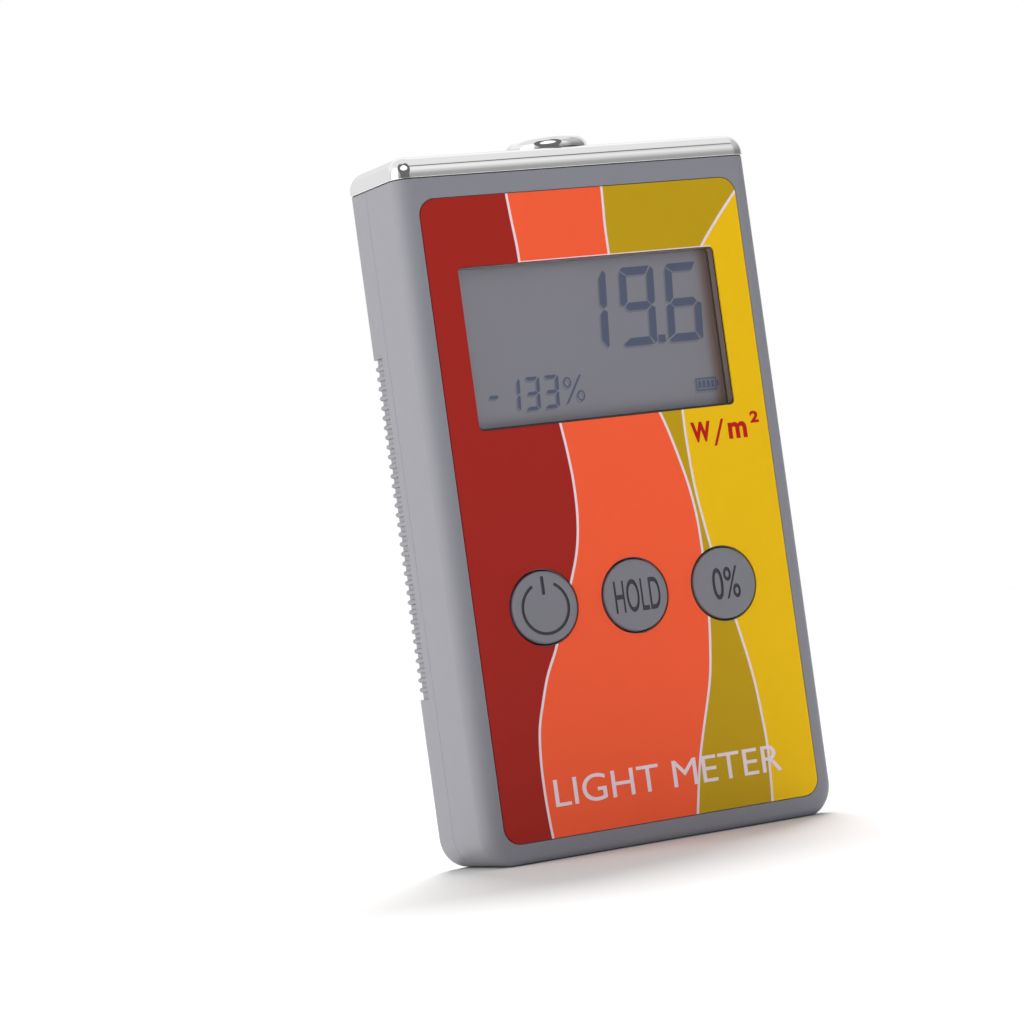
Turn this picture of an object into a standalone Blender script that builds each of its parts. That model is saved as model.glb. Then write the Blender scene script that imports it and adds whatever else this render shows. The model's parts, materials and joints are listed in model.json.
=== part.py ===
"""A handheld light meter: a two-part moulded case under a chrome cap that carries the light sensor.

Z is up, the front faces -Y, and the origin is the centre of the bottom face. Sizes in this file are in
millimetres, and MM turns them into metres as each mesh is made.
"""

import math

import bmesh
import bpy

MM = 0.001

# Driving dimensions of the whole object.
WIDTH = 69.4
DEPTH = 20.2
HEIGHT = 123.4
CAP_TOP = 121.3
CASE_TOP = 117.2
WALL = 2.0
GAP = 0.3
CLOSE_GAP = 0.15

# The case.
FRONT = -DEPTH / 2
BACK = DEPTH / 2
FRONT_EDGE_R = 3.06
REAR_EDGE_R = 2.6
BOTTOM_EDGE_R = 1.2
BOTTOM_CORNER_R = 5.5
PARTING_Y = FRONT + 12.5
SEAM = 0.15
FRONT_WALL_Y = FRONT + 2.2
REAR_WALL_Y = BACK - 1.7
TOP_WALL = 1.6
CAVITY_TOP = CASE_TOP - TOP_WALL

# The printed overlay and the display window in it.
OVERLAY_MARGIN = 3.62
OVERLAY_HALF_W = WIDTH / 2 - OVERLAY_MARGIN
OVERLAY_BOTTOM = OVERLAY_MARGIN
OVERLAY_TOP = CASE_TOP - 3.7
OVERLAY_CORNER_R = 3.0
OVERLAY_THICK = 0.4
OVERLAY_RECESS = 0.6
OVERLAY_PROUD = 0.05
WINDOW_X = -0.2
WINDOW_Z = 87.47
WINDOW_HALF_W = 25.25
WINDOW_HALF_H = 14.05
WINDOW_CORNER_R = 0.9

# The push-buttons: a cap, the switch behind it and the plunger between them.
BUTTON_Z = 42.5
BUTTON_X = {"power": -17.9, "hold": -0.1, "zero": 17.7}
BUTTON_R = 6.3
BUTTON_HOLE_R = 6.5
OVERLAY_HOLE_R = 6.62
BUTTON_PROUD = 0.6
BUTTON_FLANGE_R = 7.2
BUTTON_INNER_R = 5.2
BUTTON_TRAVEL = 0.5
SWITCH_SIZE = 6.0
SWITCH_HEIGHT = 3.35
PLUNGER_R = 1.7
PLUNGER_LENGTH = 2.4
PLUNGER_FRONT = FRONT - BUTTON_PROUD + 1.5

# The main circuit board, parallel to the front.
BOARD_FRONT = -4.5
BOARD_BACK = -3.3
BOARD_HALF_W = 30.5
BOARD_BOTTOM = 15.6
BOARD_TOP = 106.0
BOARD_SCREWS = ((-27.6, 20.0), (27.6, 20.0), (-27.6, 64.0), (27.6, 64.0))

# The four cells side by side in the lower back.
CELL_R = 5.2
CELL_LENGTH = 44.5
CELL_NUB = 1.0
CELL_PITCH = 11.2
CELL_Y = 3.25
BAY_HALF_W = 23.3
BAY_BOTTOM = 6.9
BAY_TOP = 58.6
BAY_FLOOR_Y = -2.1
BAY_WALL = 1.6
BAY_FLOOR = 0.9
PLATE_THICK = 0.4

# The battery door, which tilts out about pins at its lower edge.
DOOR_HALF_W = 23.9
DOOR_TOP = 59.2
DOOR_Y = 9.3
DOOR_THICK = 1.3
HINGE_Z = 6.95
HINGE_PIN_R = 0.4
TONGUE_HALF_W = 4.0
TONGUE_TOP = 61.0
SCOOP_HALF_W = 7.0

# The wires, and the socket that the sensor's pair plugs into.
WIRE_R = 0.45
SOCKET_Z = 100.0
LEAD_X = 20.4
LEAD_Z = 9.0

# The blank plate on the back.
LABEL_Z = 86.0
LABEL_HALF_W = 19.0
LABEL_HALF_H = 14.0

# The sensor, in the middle of the cap.
COLLAR_R = 7.35
COLLAR_DOME_R = 1.9
COLLAR_RIM_R = 6.3
COLLAR_NECK_R = 5.1
COLLAR_BORE_R = 4.25
APERTURE_R = 3.5
SENSOR_HOLE_R = 5.5

# The chrome cap.
CAP_BOTTOM = CASE_TOP + 0.2
CAP_OVERHANG = 0.2
CAP_EDGE_R = 3.3
CAP_WALL = 1.6
CAP_SCREW_X = 20.0

CASE_SCREWS = ((-28.3, 8.5), (28.3, 8.5), (-28.3, 110.3), (28.3, 110.3))

# The grip ribs let into each side and round its rear corner.
RIB_BOTTOM = 29.6
RIB_PITCH = 1.692
RIB_COUNT = 34
RIB_HEIGHT = 0.52
RIB_HALF_W = 0.44
GRIP_DEPTH = 0.6
GRIP_Y = FRONT + 14.8
GRIP_END_X = 30.6

CORNER_STEPS = 4
TURNED_STEPS = 32
SMALL_STEPS = 12

# Colour, roughness and metallic value of each material.
FINISHES = {
    "grey_plastic": ((0.28, 0.28, 0.29), 0.45, 0.0),
    "chrome": ((0.86, 0.86, 0.87), 0.06, 1.0),
    "printed_film": ((0.72, 0.12, 0.04), 0.35, 0.0),
    "clear_acrylic": ((0.85, 0.88, 0.88), 0.05, 0.0),
    "lcd": ((0.2, 0.21, 0.23), 0.15, 0.0),
    "button_grey": ((0.2, 0.2, 0.21), 0.5, 0.0),
    "white_plastic": ((0.75, 0.75, 0.72), 0.4, 0.0),
    "black_plastic": ((0.02, 0.02, 0.02), 0.4, 0.0),
    "board_green": ((0.02, 0.14, 0.06), 0.4, 0.0),
    "zebra_rubber": ((0.3, 0.28, 0.27), 0.7, 0.0),
    "steel": ((0.55, 0.55, 0.56), 0.3, 1.0),
    "nickel": ((0.7, 0.68, 0.62), 0.25, 1.0),
    "opal": ((0.85, 0.85, 0.83), 0.4, 0.0),
    "cell_sleeve": ((0.03, 0.09, 0.2), 0.3, 0.0),
    "red_wire": ((0.5, 0.02, 0.02), 0.45, 0.0),
    "black_wire": ((0.02, 0.02, 0.02), 0.45, 0.0),
    "label_plate": ((0.6, 0.6, 0.6), 0.4, 0.2),
}


def clear_scene():
    for obj in list(bpy.data.objects):
        bpy.data.objects.remove(obj, do_unlink=True)


def finish(name):
    """The named material, made on first use."""
    found = bpy.data.materials.get(name)
    if found:
        return found
    colour, roughness, metallic = FINISHES[name]
    material = bpy.data.materials.new(name)
    material.use_nodes = True
    shader = material.node_tree.nodes["Principled BSDF"]
    shader.inputs["Base Color"].default_value = (*colour, 1.0)
    shader.inputs["Roughness"].default_value = roughness
    shader.inputs["Metallic"].default_value = metallic
    material.diffuse_color = (*colour, 1.0)
    return material


# ---- Outlines and meshes -------------------------------------------------------------------------


def arc(centre, radius_u, radius_v, start, end, steps=CORNER_STEPS):
    """Points of an elliptic arc from start to end degrees, both ends included."""
    points = []
    for step in range(steps + 1):
        angle = math.radians(start + (end - start) * step / steps)
        points.append((centre[0] + radius_u * math.cos(angle), centre[1] + radius_v * math.sin(angle)))
    return points


def rounded_rect(centre, half_u, half_v, radii, steps=CORNER_STEPS):
    """A rectangle's outline with the radius of each corner: (+,+), (-,+), (-,-), (+,-)."""
    points = []
    signs = ((1, 1), (-1, 1), (-1, -1), (1, -1))
    for quarter, ((sign_u, sign_v), radius) in enumerate(zip(signs, radii)):
        corner = (centre[0] + sign_u * (half_u - radius), centre[1] + sign_v * (half_v - radius))
        points += arc(corner, radius, radius, 90 * quarter, 90 * quarter + 90, steps)
    return points


def plain_rect(centre, half_u, half_v):
    u, v = centre
    return [
        (u + half_u, v + half_v),
        (u - half_u, v + half_v),
        (u - half_u, v - half_v),
        (u + half_u, v - half_v),
    ]


def circle(centre, radius, steps=TURNED_STEPS):
    return arc(centre, radius, radius, 0, 360 - 360 / steps, steps - 1)


def placed(outline, axis, level):
    """An outline as 3-D points on the plane at this level of the axis: (x, z) on Y, (x, y) on Z."""
    if axis == "Y":
        return [(u, level, v) for u, v in outline]
    if axis == "Z":
        return [(u, v, level) for u, v in outline]
    return [(level, u, v) for u, v in outline]


def new_object(name, mesh_builder, material, origin=(0.0, 0.0, 0.0)):
    """An object from a filled bmesh in millimetres, with its origin at the given point."""
    mesh_builder.verts.ensure_lookup_table()
    for vert in mesh_builder.verts:
        vert.co = [(value - start) * MM for value, start in zip(vert.co, origin)]
    bmesh.ops.recalc_face_normals(mesh_builder, faces=mesh_builder.faces)
    mesh = bpy.data.meshes.new(name)
    mesh_builder.to_mesh(mesh)
    mesh_builder.free()
    obj = bpy.data.objects.new(name, mesh)
    obj.location = [value * MM for value in origin]
    bpy.context.scene.collection.objects.link(obj)
    if material:
        mesh.materials.append(finish(material))
        mesh.shade_smooth()
        mesh.set_sharp_from_angle(angle=math.radians(35))
    return obj


def add_loft(builder, sections):
    """Adds a closed solid through sections of equal length."""
    rings = [[builder.verts.new(point) for point in section] for section in sections]
    count = len(sections[0])
    for lower, upper in zip(rings, rings[1:]):
        for index in range(count):
            following = (index + 1) % count
            builder.faces.new((lower[index], lower[following], upper[following], upper[index]))
    builder.faces.new(list(reversed(rings[0])))
    builder.faces.new(rings[-1])


def stack(name, axis, levels, material=None, origin=(0.0, 0.0, 0.0)):
    """A solid through (level, outline) pairs along an axis."""
    builder = bmesh.new()
    add_loft(builder, [placed(outline, axis, level) for level, outline in levels])
    return new_object(name, builder, material, origin)


def prism(name, axis, outline, start, end, material=None, origin=(0.0, 0.0, 0.0)):
    return stack(name, axis, [(start, outline), (end, outline)], material, origin)


def prisms(name, axis, outlines, start, end):
    """Several separate prisms in one helper object."""
    builder = bmesh.new()
    for outline in outlines:
        add_loft(builder, [placed(outline, axis, start), placed(outline, axis, end)])
    return new_object(name, builder, None)


def turned(name, axis, centre, profile, material=None, steps=TURNED_STEPS):
    """A solid of revolution. The profile holds (radius, level) points and either starts and ends on the
    axis or closes on itself. The centre is (x, y) for axis Z and (x, z) for axis Y."""
    builder = bmesh.new()
    rings = []
    for radius, level in profile:
        outline = circle(centre, radius, steps) if radius > 0 else [centre]
        rings.append([builder.verts.new(point) for point in placed(outline, axis, level)])
    pairs = list(zip(rings, rings[1:]))
    if profile[0][0] > 0:
        pairs.append((rings[-1], rings[0]))
    for lower, upper in pairs:
        for index in range(steps):
            following = (index + 1) % steps
            corners = [lower[index % len(lower)], lower[following % len(lower)]]
            corners += [upper[following % len(upper)], upper[index % len(upper)]]
            builder.faces.new(list(dict.fromkeys(corners)))
    middle = sum(level for _, level in profile) / len(profile)
    origin = placed([centre], axis, middle)[0]
    return new_object(name, builder, material, origin)


def helper(obj):
    """Marks an object as a tool for a Boolean, left out of the model."""
    obj.hide_render = True
    obj.display_type = "WIRE"
    return obj


def boolean(obj, tool, operation):
    modifier = obj.modifiers.new(tool.name, "BOOLEAN")
    modifier.operation = operation
    modifier.solver = "EXACT"
    modifier.object = helper(tool)


def cut(obj, tool):
    boolean(obj, tool, "DIFFERENCE")


def merge(obj, tool):
    boolean(obj, tool, "UNION")


# ---- Case ----------------------------------------------------------------------------------------


def round_inset(distance, radius):
    """How far a rounded edge draws the surface in, at this distance from the face it starts at."""
    if distance >= radius:
        return 0.0
    return radius - math.sqrt(radius**2 - (radius - distance) ** 2)


def body_outline(y, wall=0.0, top=CASE_TOP):
    """The case's (x, z) outline at depth y, drawn in by a wall thickness."""
    from_front = y - FRONT
    from_back = BACK - y
    side = wall + max(round_inset(from_front, FRONT_EDGE_R), round_inset(from_back, REAR_EDGE_R))
    bottom = wall + round_inset(min(from_front, from_back), BOTTOM_EDGE_R)
    centre_x = WIDTH / 2 - BOTTOM_CORNER_R
    size = (BOTTOM_CORNER_R - side, BOTTOM_CORNER_R - bottom)
    left = arc((-centre_x, BOTTOM_CORNER_R), *size, 180, 270, 6)
    right = arc((centre_x, BOTTOM_CORNER_R), *size, 270, 360, 6)
    return left + right + [(WIDTH / 2 - side, top), (side - WIDTH / 2, top)]


def edge_levels(face_y, radius, inward):
    """Depths at equal angles round an edge, from the face inward."""
    steps = 5
    return [face_y + inward * radius * (1 - math.cos(math.pi / 2 * s / steps)) for s in range(steps + 1)]


def shell_body(name, levels):
    return stack(name, "Y", [(y, body_outline(y)) for y in levels], "grey_plastic")


def hollow(name, levels):
    return stack(name, "Y", [(y, body_outline(y, WALL, CAVITY_TOP)) for y in levels])


def discs(name, centres, radius, start, end, steps=SMALL_STEPS):
    return prisms(name, "Y", [circle(centre, radius, steps) for centre in centres], start, end)


def sensor_hole(name):
    return prism(name, "Z", circle((0, 0), SENSOR_HOLE_R, 24), CAVITY_TOP - 1, CASE_TOP + 1)


def front_shell():
    shell = shell_body("front_shell", edge_levels(FRONT, FRONT_EDGE_R, 1) + [PARTING_Y - SEAM / 2])
    cut(shell, hollow("front_hollow", [FRONT_WALL_Y, FRONT + FRONT_EDGE_R, PARTING_Y + 1]))
    merge(shell, discs("board_standoffs", BOARD_SCREWS, 2.3, FRONT_WALL_Y - 0.5, BOARD_FRONT - CLOSE_GAP))
    merge(shell, discs("front_bosses", CASE_SCREWS, 3.1, FRONT_WALL_Y - 0.5, PARTING_Y - 0.3))
    cut(shell, discs("board_pilots", BOARD_SCREWS, 1.1, FRONT_WALL_Y + 0.5, 0))
    cut(shell, discs("case_pilots", CASE_SCREWS, 1.3, FRONT_WALL_Y + 1, PARTING_Y + 1))
    middle_z = (OVERLAY_TOP + OVERLAY_BOTTOM) / 2
    half_h = (OVERLAY_TOP - OVERLAY_BOTTOM) / 2 + CLOSE_GAP
    half_w = OVERLAY_HALF_W + CLOSE_GAP
    recess = rounded_rect((0, middle_z), half_w, half_h, (OVERLAY_CORNER_R,) * 4)
    cut(shell, prism("overlay_recess", "Y", recess, FRONT - 1, FRONT + OVERLAY_RECESS))
    openings = [circle((x, BUTTON_Z), BUTTON_HOLE_R) for x in BUTTON_X.values()]
    openings.append(window_outline(0.0))
    cut(shell, prisms("front_openings", "Y", openings, FRONT - 1, FRONT_WALL_Y + 1))
    cut(shell, sensor_hole("front_sensor_hole"))
    screw_holes = [circle((x, 0), 1.2, SMALL_STEPS) for x in (-CAP_SCREW_X, CAP_SCREW_X)]
    cut(shell, prisms("cap_screw_holes", "Z", screw_holes, CAVITY_TOP - 1, CASE_TOP + 1))
    return shell


def window_outline(inset):
    radius = max(WINDOW_CORNER_R - inset, 0.3)
    return rounded_rect((WINDOW_X, WINDOW_Z), WINDOW_HALF_W - inset, WINDOW_HALF_H - inset, (radius,) * 4)


def box_outline(half_u, low_v, high_v, centre_u=0.0):
    return plain_rect((centre_u, (low_v + high_v) / 2), half_u, (high_v - low_v) / 2)


def grip_corner(height, start=0, steps=5):
    """Points round a rear corner at this height over the floor of the grip recess."""
    radius = REAR_EDGE_R - GRIP_DEPTH + height
    return arc((WIDTH / 2 - REAR_EDGE_R, BACK - REAR_EDGE_R), radius, radius, start, 90 - start, steps)


def grip_recesses():
    """The space cut from both sides for the ribs, with its floor following the rear corners."""
    high = RIB_BOTTOM + RIB_PITCH * (RIB_COUNT + 1)
    floor = grip_corner(0.0)
    outer_x = WIDTH / 2 + 1
    outline = [(floor[0][0], GRIP_Y)] + floor + [(GRIP_END_X, floor[-1][1]), (GRIP_END_X, BACK + 1)]
    outline += [(outer_x, BACK + 1), (outer_x, GRIP_Y)]
    mirrored = [(-x, y) for x, y in reversed(outline)]
    return prisms("grip_recesses", "Z", [outline, mirrored], RIB_BOTTOM, high)


def grip_ribs():
    """Half-round ribs along both grip recesses, each bent round the rear corner.

    A rib bends half a step away from the bends of the floor, so that no two edges coincide.
    """
    builder = bmesh.new()
    profile = [(-0.3, -RIB_HALF_W)] + arc((0, 0), RIB_HEIGHT, RIB_HALF_W, -75, 75, 4)
    profile.append((-0.3, RIB_HALF_W))
    routes = []
    for height, dz in profile:
        corner = grip_corner(height, 9, 4)
        crown = REAR_EDGE_R - GRIP_DEPTH + height
        start = (WIDTH / 2 - REAR_EDGE_R + crown, GRIP_Y - 0.3)
        end = (GRIP_END_X - 0.3, BACK - REAR_EDGE_R + crown)
        route = [start] + corner + [end]
        routes.append([(x, y, dz) for x, y in route])
    for side in (-1, 1):
        for index in range(RIB_COUNT):
            z = RIB_BOTTOM + RIB_PITCH * (index + 1)
            add_loft(builder, [[(side * x, y, z + dz) for x, y, dz in section] for section in zip(*routes)])
    return new_object("grip_ribs", builder, None)


def rear_shell():
    levels = [PARTING_Y + SEAM / 2] + edge_levels(BACK, REAR_EDGE_R, -1)[::-1]
    shell = shell_body("rear_shell", levels)
    cut(shell, hollow("rear_hollow", [PARTING_Y - 1, BACK - REAR_EDGE_R, REAR_WALL_Y]))
    bay = box_outline(BAY_HALF_W + BAY_WALL, BAY_BOTTOM - BAY_WALL, BAY_TOP + BAY_WALL)
    merge(shell, prism("bay_walls", "Y", bay, BAY_FLOOR_Y - BAY_FLOOR, REAR_WALL_Y + 0.2))
    merge(shell, discs("rear_bosses", CASE_SCREWS, 3.1, PARTING_Y + 0.3, REAR_WALL_Y + 0.2))
    bay_space = box_outline(BAY_HALF_W, BAY_BOTTOM, BAY_TOP)
    cut(shell, prism("bay_space", "Y", bay_space, BAY_FLOOR_Y, BACK + 1))
    cut(shell, door_recess())
    cut(shell, discs("counterbores", CASE_SCREWS, 2.5, PARTING_Y + 3, BACK + 1))
    cut(shell, discs("case_screw_holes", CASE_SCREWS, 1.3, PARTING_Y - 1, BACK))
    lead_holes = [(LEAD_X, LEAD_Z), (-LEAD_X, LEAD_Z)]
    cut(shell, discs("lead_holes", lead_holes, 0.9, BAY_FLOOR_Y - 2, BAY_FLOOR_Y + 1))
    label = rounded_rect((0, LABEL_Z), LABEL_HALF_W + GAP, LABEL_HALF_H + GAP, (1.5,) * 4)
    cut(shell, prism("label_recess", "Y", label, BACK - 0.7, BACK + 1))
    cut(shell, sensor_hole("rear_sensor_hole"))
    cut(shell, grip_recesses())
    merge(shell, grip_ribs())
    return shell


def door_recess():
    """The door's seat, the notch for its tongue and a finger scoop, and the sockets of its pins."""
    builder = bmesh.new()
    seat = box_outline(DOOR_HALF_W + GAP, HINGE_Z - DOOR_THICK / 2 - GAP, DOOR_TOP + GAP)
    notch = box_outline(TONGUE_HALF_W + GAP, DOOR_TOP, TONGUE_TOP + GAP)
    add_loft(builder, [placed(seat, "Y", REAR_WALL_Y), placed(seat, "Y", BACK + 1)])
    tool = new_object("door_seat", builder, None)
    merge(tool, prism("tongue_notch", "Y", notch, REAR_WALL_Y + 0.2, BACK + 1))
    scoop = rounded_rect((0, TONGUE_TOP + 2), SCOOP_HALF_W, 4.0, (3.5,) * 4)
    merge(tool, stack("finger_scoop", "Y", [(BACK - 0.9, scoop), (BACK + 1, scoop)]))
    socket = circle((DOOR_Y, HINGE_Z), HINGE_PIN_R + 0.25, SMALL_STEPS)
    reach = DOOR_HALF_W + 1.4
    merge(tool, prism("hinge_sockets", "X", socket, -reach, reach))
    return tool


def battery_door():
    """A plate whose lower edge is round about its hinge, with two pins and a tongue at the top."""
    half = DOOR_THICK / 2
    round_edge = arc((DOOR_Y, HINGE_Z), half, half, 180, 360, 6)
    side = round_edge + [(DOOR_Y + half, DOOR_TOP), (DOOR_Y - half, DOOR_TOP)]
    hinge = (0.0, DOOR_Y, HINGE_Z)
    door = prism("battery_door", "X", side, -DOOR_HALF_W, DOOR_HALF_W, "grey_plastic", hinge)
    pin = circle((DOOR_Y, HINGE_Z), HINGE_PIN_R, 8)
    merge(door, prism("hinge_pins", "X", pin, -DOOR_HALF_W - 1.0, DOOR_HALF_W + 1.0))
    tongue = box_outline(TONGUE_HALF_W, DOOR_TOP - 1, TONGUE_TOP)
    merge(door, prism("door_tongue", "Y", tongue, DOOR_Y - half + 0.3, DOOR_Y + half))
    ridges = [box_outline(9.0, z, z + 0.9) for z in (51.0, 53.0, 55.0)]
    cut(door, prisms("door_grooves", "Y", ridges, DOOR_Y + half - 0.35, BACK + 1))
    return door


# ---- Front parts ---------------------------------------------------------------------------------


def front_overlay():
    middle_z = (OVERLAY_TOP + OVERLAY_BOTTOM) / 2
    half_h = (OVERLAY_TOP - OVERLAY_BOTTOM) / 2
    outline = rounded_rect((0, middle_z), OVERLAY_HALF_W, half_h, (OVERLAY_CORNER_R,) * 4, 6)
    face = FRONT - OVERLAY_PROUD
    overlay = prism("front_overlay", "Y", outline, face, face + OVERLAY_THICK, "printed_film")
    openings = [circle((x, BUTTON_Z), OVERLAY_HOLE_R) for x in BUTTON_X.values()]
    openings.append(window_outline(0.0))
    cut(overlay, prisms("overlay_openings", "Y", openings, face - 1, face + 1))
    return overlay


def display_lens():
    """A clear block that fills the window from behind, with a flange inside the case."""
    face = FRONT + GAP
    shoulder = FRONT_WALL_Y + 0.2
    body = window_outline(0.2)
    flange = rounded_rect((WINDOW_X, WINDOW_Z), WINDOW_HALF_W + 1.5, WINDOW_HALF_H + 1.5, (1.0,) * 4)
    levels = [(face, body), (shoulder, body), (shoulder, flange), (shoulder + 0.7, flange)]
    return stack("display_lens", "Y", levels, "clear_acrylic")


def lcd_glass():
    """The display's two panes. The front one is longer at the bottom, where the zebra strip meets it."""
    front_y = FRONT_WALL_Y + 1.3
    step = 0.85
    front_pane = box_outline(27.0, WINDOW_Z - 16.2, WINDOW_Z + 16.2, WINDOW_X)
    rear_pane = box_outline(27.0, WINDOW_Z - 13.2, WINDOW_Z + 16.2, WINDOW_X)
    levels = [(front_y, front_pane), (front_y + step, front_pane)]
    levels += [(front_y + step, rear_pane), (front_y + 2 * step, rear_pane)]
    return stack("lcd_glass", "Y", levels, "lcd")


def display_frame():
    outer = rounded_rect((WINDOW_X, WINDOW_Z), 29.2, 18.2, (1.5,) * 4)
    frame = prism("display_frame", "Y", outer, FRONT_WALL_Y + 1.1, BOARD_FRONT - CLOSE_GAP, "white_plastic")
    inner = box_outline(27.2, WINDOW_Z - 16.4, WINDOW_Z + 16.4, WINDOW_X)
    cut(frame, prism("frame_opening", "Y", inner, FRONT_WALL_Y, BOARD_FRONT + 1))
    return frame


def zebra_strip():
    outline = box_outline(24.0, WINDOW_Z - 15.9, WINDOW_Z - 13.6, WINDOW_X)
    return prism("zebra_strip", "Y", outline, FRONT_WALL_Y + 2.25, BOARD_FRONT - 0.1, "zebra_rubber")


def push_button(label, x):
    """A hollow cap with a flange that keeps it behind the case, open to the rear."""
    face = FRONT - BUTTON_PROUD
    stop = FRONT_WALL_Y + GAP
    profile = [
        (0, face),
        (BUTTON_R - 0.45, face),
        (BUTTON_R - 0.1, face + 0.12),
        (BUTTON_R, face + 0.4),
        (BUTTON_R, stop),
        (BUTTON_FLANGE_R, stop),
        (BUTTON_FLANGE_R, stop + 0.7),
        (BUTTON_INNER_R, stop + 0.7),
        (BUTTON_INNER_R, face + 1.3),
        (0, face + 1.3),
    ]
    return turned(label + "_button", "Y", (x, BUTTON_Z), profile, "button_grey")


def tact_switch(label, x):
    """A switch body on the board, with the bore that its plunger travels in."""
    rear = BOARD_FRONT - CLOSE_GAP
    body = rounded_rect((x, BUTTON_Z), SWITCH_SIZE / 2, SWITCH_SIZE / 2, (0.5,) * 4, 1)
    switch = prism(label + "_switch", "Y", body, rear - SWITCH_HEIGHT, rear, "black_plastic")
    bore = circle((x, BUTTON_Z), PLUNGER_R + GAP, 16)
    bore_end = PLUNGER_FRONT + PLUNGER_LENGTH + BUTTON_TRAVEL + GAP
    cut(switch, prism(label + "_switch_bore", "Y", bore, rear - SWITCH_HEIGHT - 1, bore_end))
    return switch


def switch_plunger(label, x):
    rear = PLUNGER_FRONT + PLUNGER_LENGTH
    profile = [(0, PLUNGER_FRONT), (PLUNGER_R - 0.3, PLUNGER_FRONT), (PLUNGER_R, PLUNGER_FRONT + 0.3)]
    profile += [(PLUNGER_R, rear), (0, rear)]
    return turned(label + "_plunger", "Y", (x, BUTTON_Z), profile, "white_plastic", 16)


# ---- Cap and sensor ------------------------------------------------------------------------------


def cap_section(inset, steps=CORNER_STEPS):
    """The cap's (x, y) outline, drawn in from its widest."""
    rear = max(REAR_EDGE_R + CAP_OVERHANG - inset, 0.4)
    front = max(FRONT_EDGE_R + CAP_OVERHANG - inset, 0.4)
    half_w = WIDTH / 2 + CAP_OVERHANG - inset
    half_d = DEPTH / 2 + CAP_OVERHANG - inset
    return rounded_rect((0, 0), half_w, half_d, (rear, rear, front, front), steps)


def top_cap():
    """A shallow lid, rounded all round its top edge, open below, with two screw bosses."""
    levels = [(CAP_BOTTOM, cap_section(0.0))]
    steps = 6
    for step in range(steps + 1):
        angle = math.pi / 2 * step / steps
        inset = CAP_EDGE_R * (1 - math.cos(angle))
        levels.append((CAP_TOP - CAP_EDGE_R * (1 - math.sin(angle)), cap_section(inset)))
    cap = stack("top_cap", "Z", levels, "chrome")
    inner_top = CAP_TOP - CAP_WALL
    space = [
        (CAP_BOTTOM - 1, cap_section(CAP_WALL, 2)),
        (CAP_BOTTOM + 0.8, cap_section(CAP_WALL, 2)),
        (inner_top, cap_section(CAP_WALL + 1.6, 2)),
    ]
    cut(cap, stack("cap_space", "Z", space))
    centres = [(-CAP_SCREW_X, 0), (CAP_SCREW_X, 0)]
    bosses = [circle(centre, 2.3, SMALL_STEPS) for centre in centres]
    merge(cap, prisms("cap_bosses", "Z", bosses, CAP_BOTTOM + 0.1, inner_top + 0.3))
    pilots = [circle(centre, 1.15, SMALL_STEPS) for centre in centres]
    cut(cap, prisms("cap_pilots", "Z", pilots, CAP_BOTTOM - 1, inner_top + 0.6))
    cut(cap, prism("collar_hole", "Z", circle((0, 0), COLLAR_NECK_R + 0.25), CAP_BOTTOM, CAP_TOP + 1))
    return cap


def sensor_collar():
    """A low domed ring on the cap, with a neck that holds the sensor."""
    seat = CAP_TOP + CLOSE_GAP
    dome = (COLLAR_R - COLLAR_DOME_R, seat + 0.25)
    shoulder = arc(dome, COLLAR_DOME_R, COLLAR_DOME_R, 0, 58, 5) + [(COLLAR_RIM_R, HEIGHT)]
    profile = [(COLLAR_BORE_R, CASE_TOP - 0.2), (COLLAR_NECK_R, CASE_TOP - 0.2)]
    profile += [(COLLAR_NECK_R, seat), (COLLAR_R, seat)] + shoulder
    profile += [(APERTURE_R + 0.9, HEIGHT), (APERTURE_R, HEIGHT - 0.6)]
    profile += [(APERTURE_R, HEIGHT - 1.0), (COLLAR_BORE_R, HEIGHT - 1.0)]
    return turned("sensor_collar", "Z", (0, 0), profile, "chrome", 28)


def sensor_parts():
    """From the aperture down: opal disc, retaining ring, photodiode, and its round board."""
    disc_top = HEIGHT - 1.15
    disc = [(0, disc_top), (3.2, disc_top), (COLLAR_BORE_R - 0.2, disc_top - 0.2)]
    disc += [(COLLAR_BORE_R - 0.2, disc_top - 1.2), (0, disc_top - 1.2)]
    turned("sensor_diffuser", "Z", (0, 0), disc, "opal", 24)
    ring_top = disc_top - 1.35
    outer = COLLAR_BORE_R - 0.15
    ring = [(2.9, ring_top), (2.9, ring_top - 1.4), (outer, ring_top - 1.4), (outer, ring_top)]
    turned("diffuser_retainer", "Z", (0, 0), ring, "black_plastic", 24)
    can_top = ring_top - 1.6
    flange = CASE_TOP - 0.3
    can = [(0, can_top), (2.2, can_top), (3.0, can_top - 0.3), (3.0, flange + 0.4)]
    can += [(3.8, flange + 0.4), (3.8, flange), (0, flange)]
    turned("photodiode", "Z", (0, 0), can, "nickel", 20)
    board_top = flange - 0.2
    board = circle((0, 0), SENSOR_HOLE_R - 0.5, 20)
    prism("sensor_board", "Z", board, board_top - 1.0, board_top, "board_green")
    return board_top - 1.0


# ---- Electronics ---------------------------------------------------------------------------------


def main_board():
    middle = (BOARD_TOP + BOARD_BOTTOM) / 2
    outline = rounded_rect((0, middle), BOARD_HALF_W, (BOARD_TOP - BOARD_BOTTOM) / 2, (1.5,) * 4, 2)
    board = prism("main_board", "Y", outline, BOARD_FRONT, BOARD_BACK, "board_green")
    cut(board, discs("board_holes", BOARD_SCREWS, 1.2, BOARD_FRONT - 1, BOARD_BACK + 1))
    return board


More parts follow.
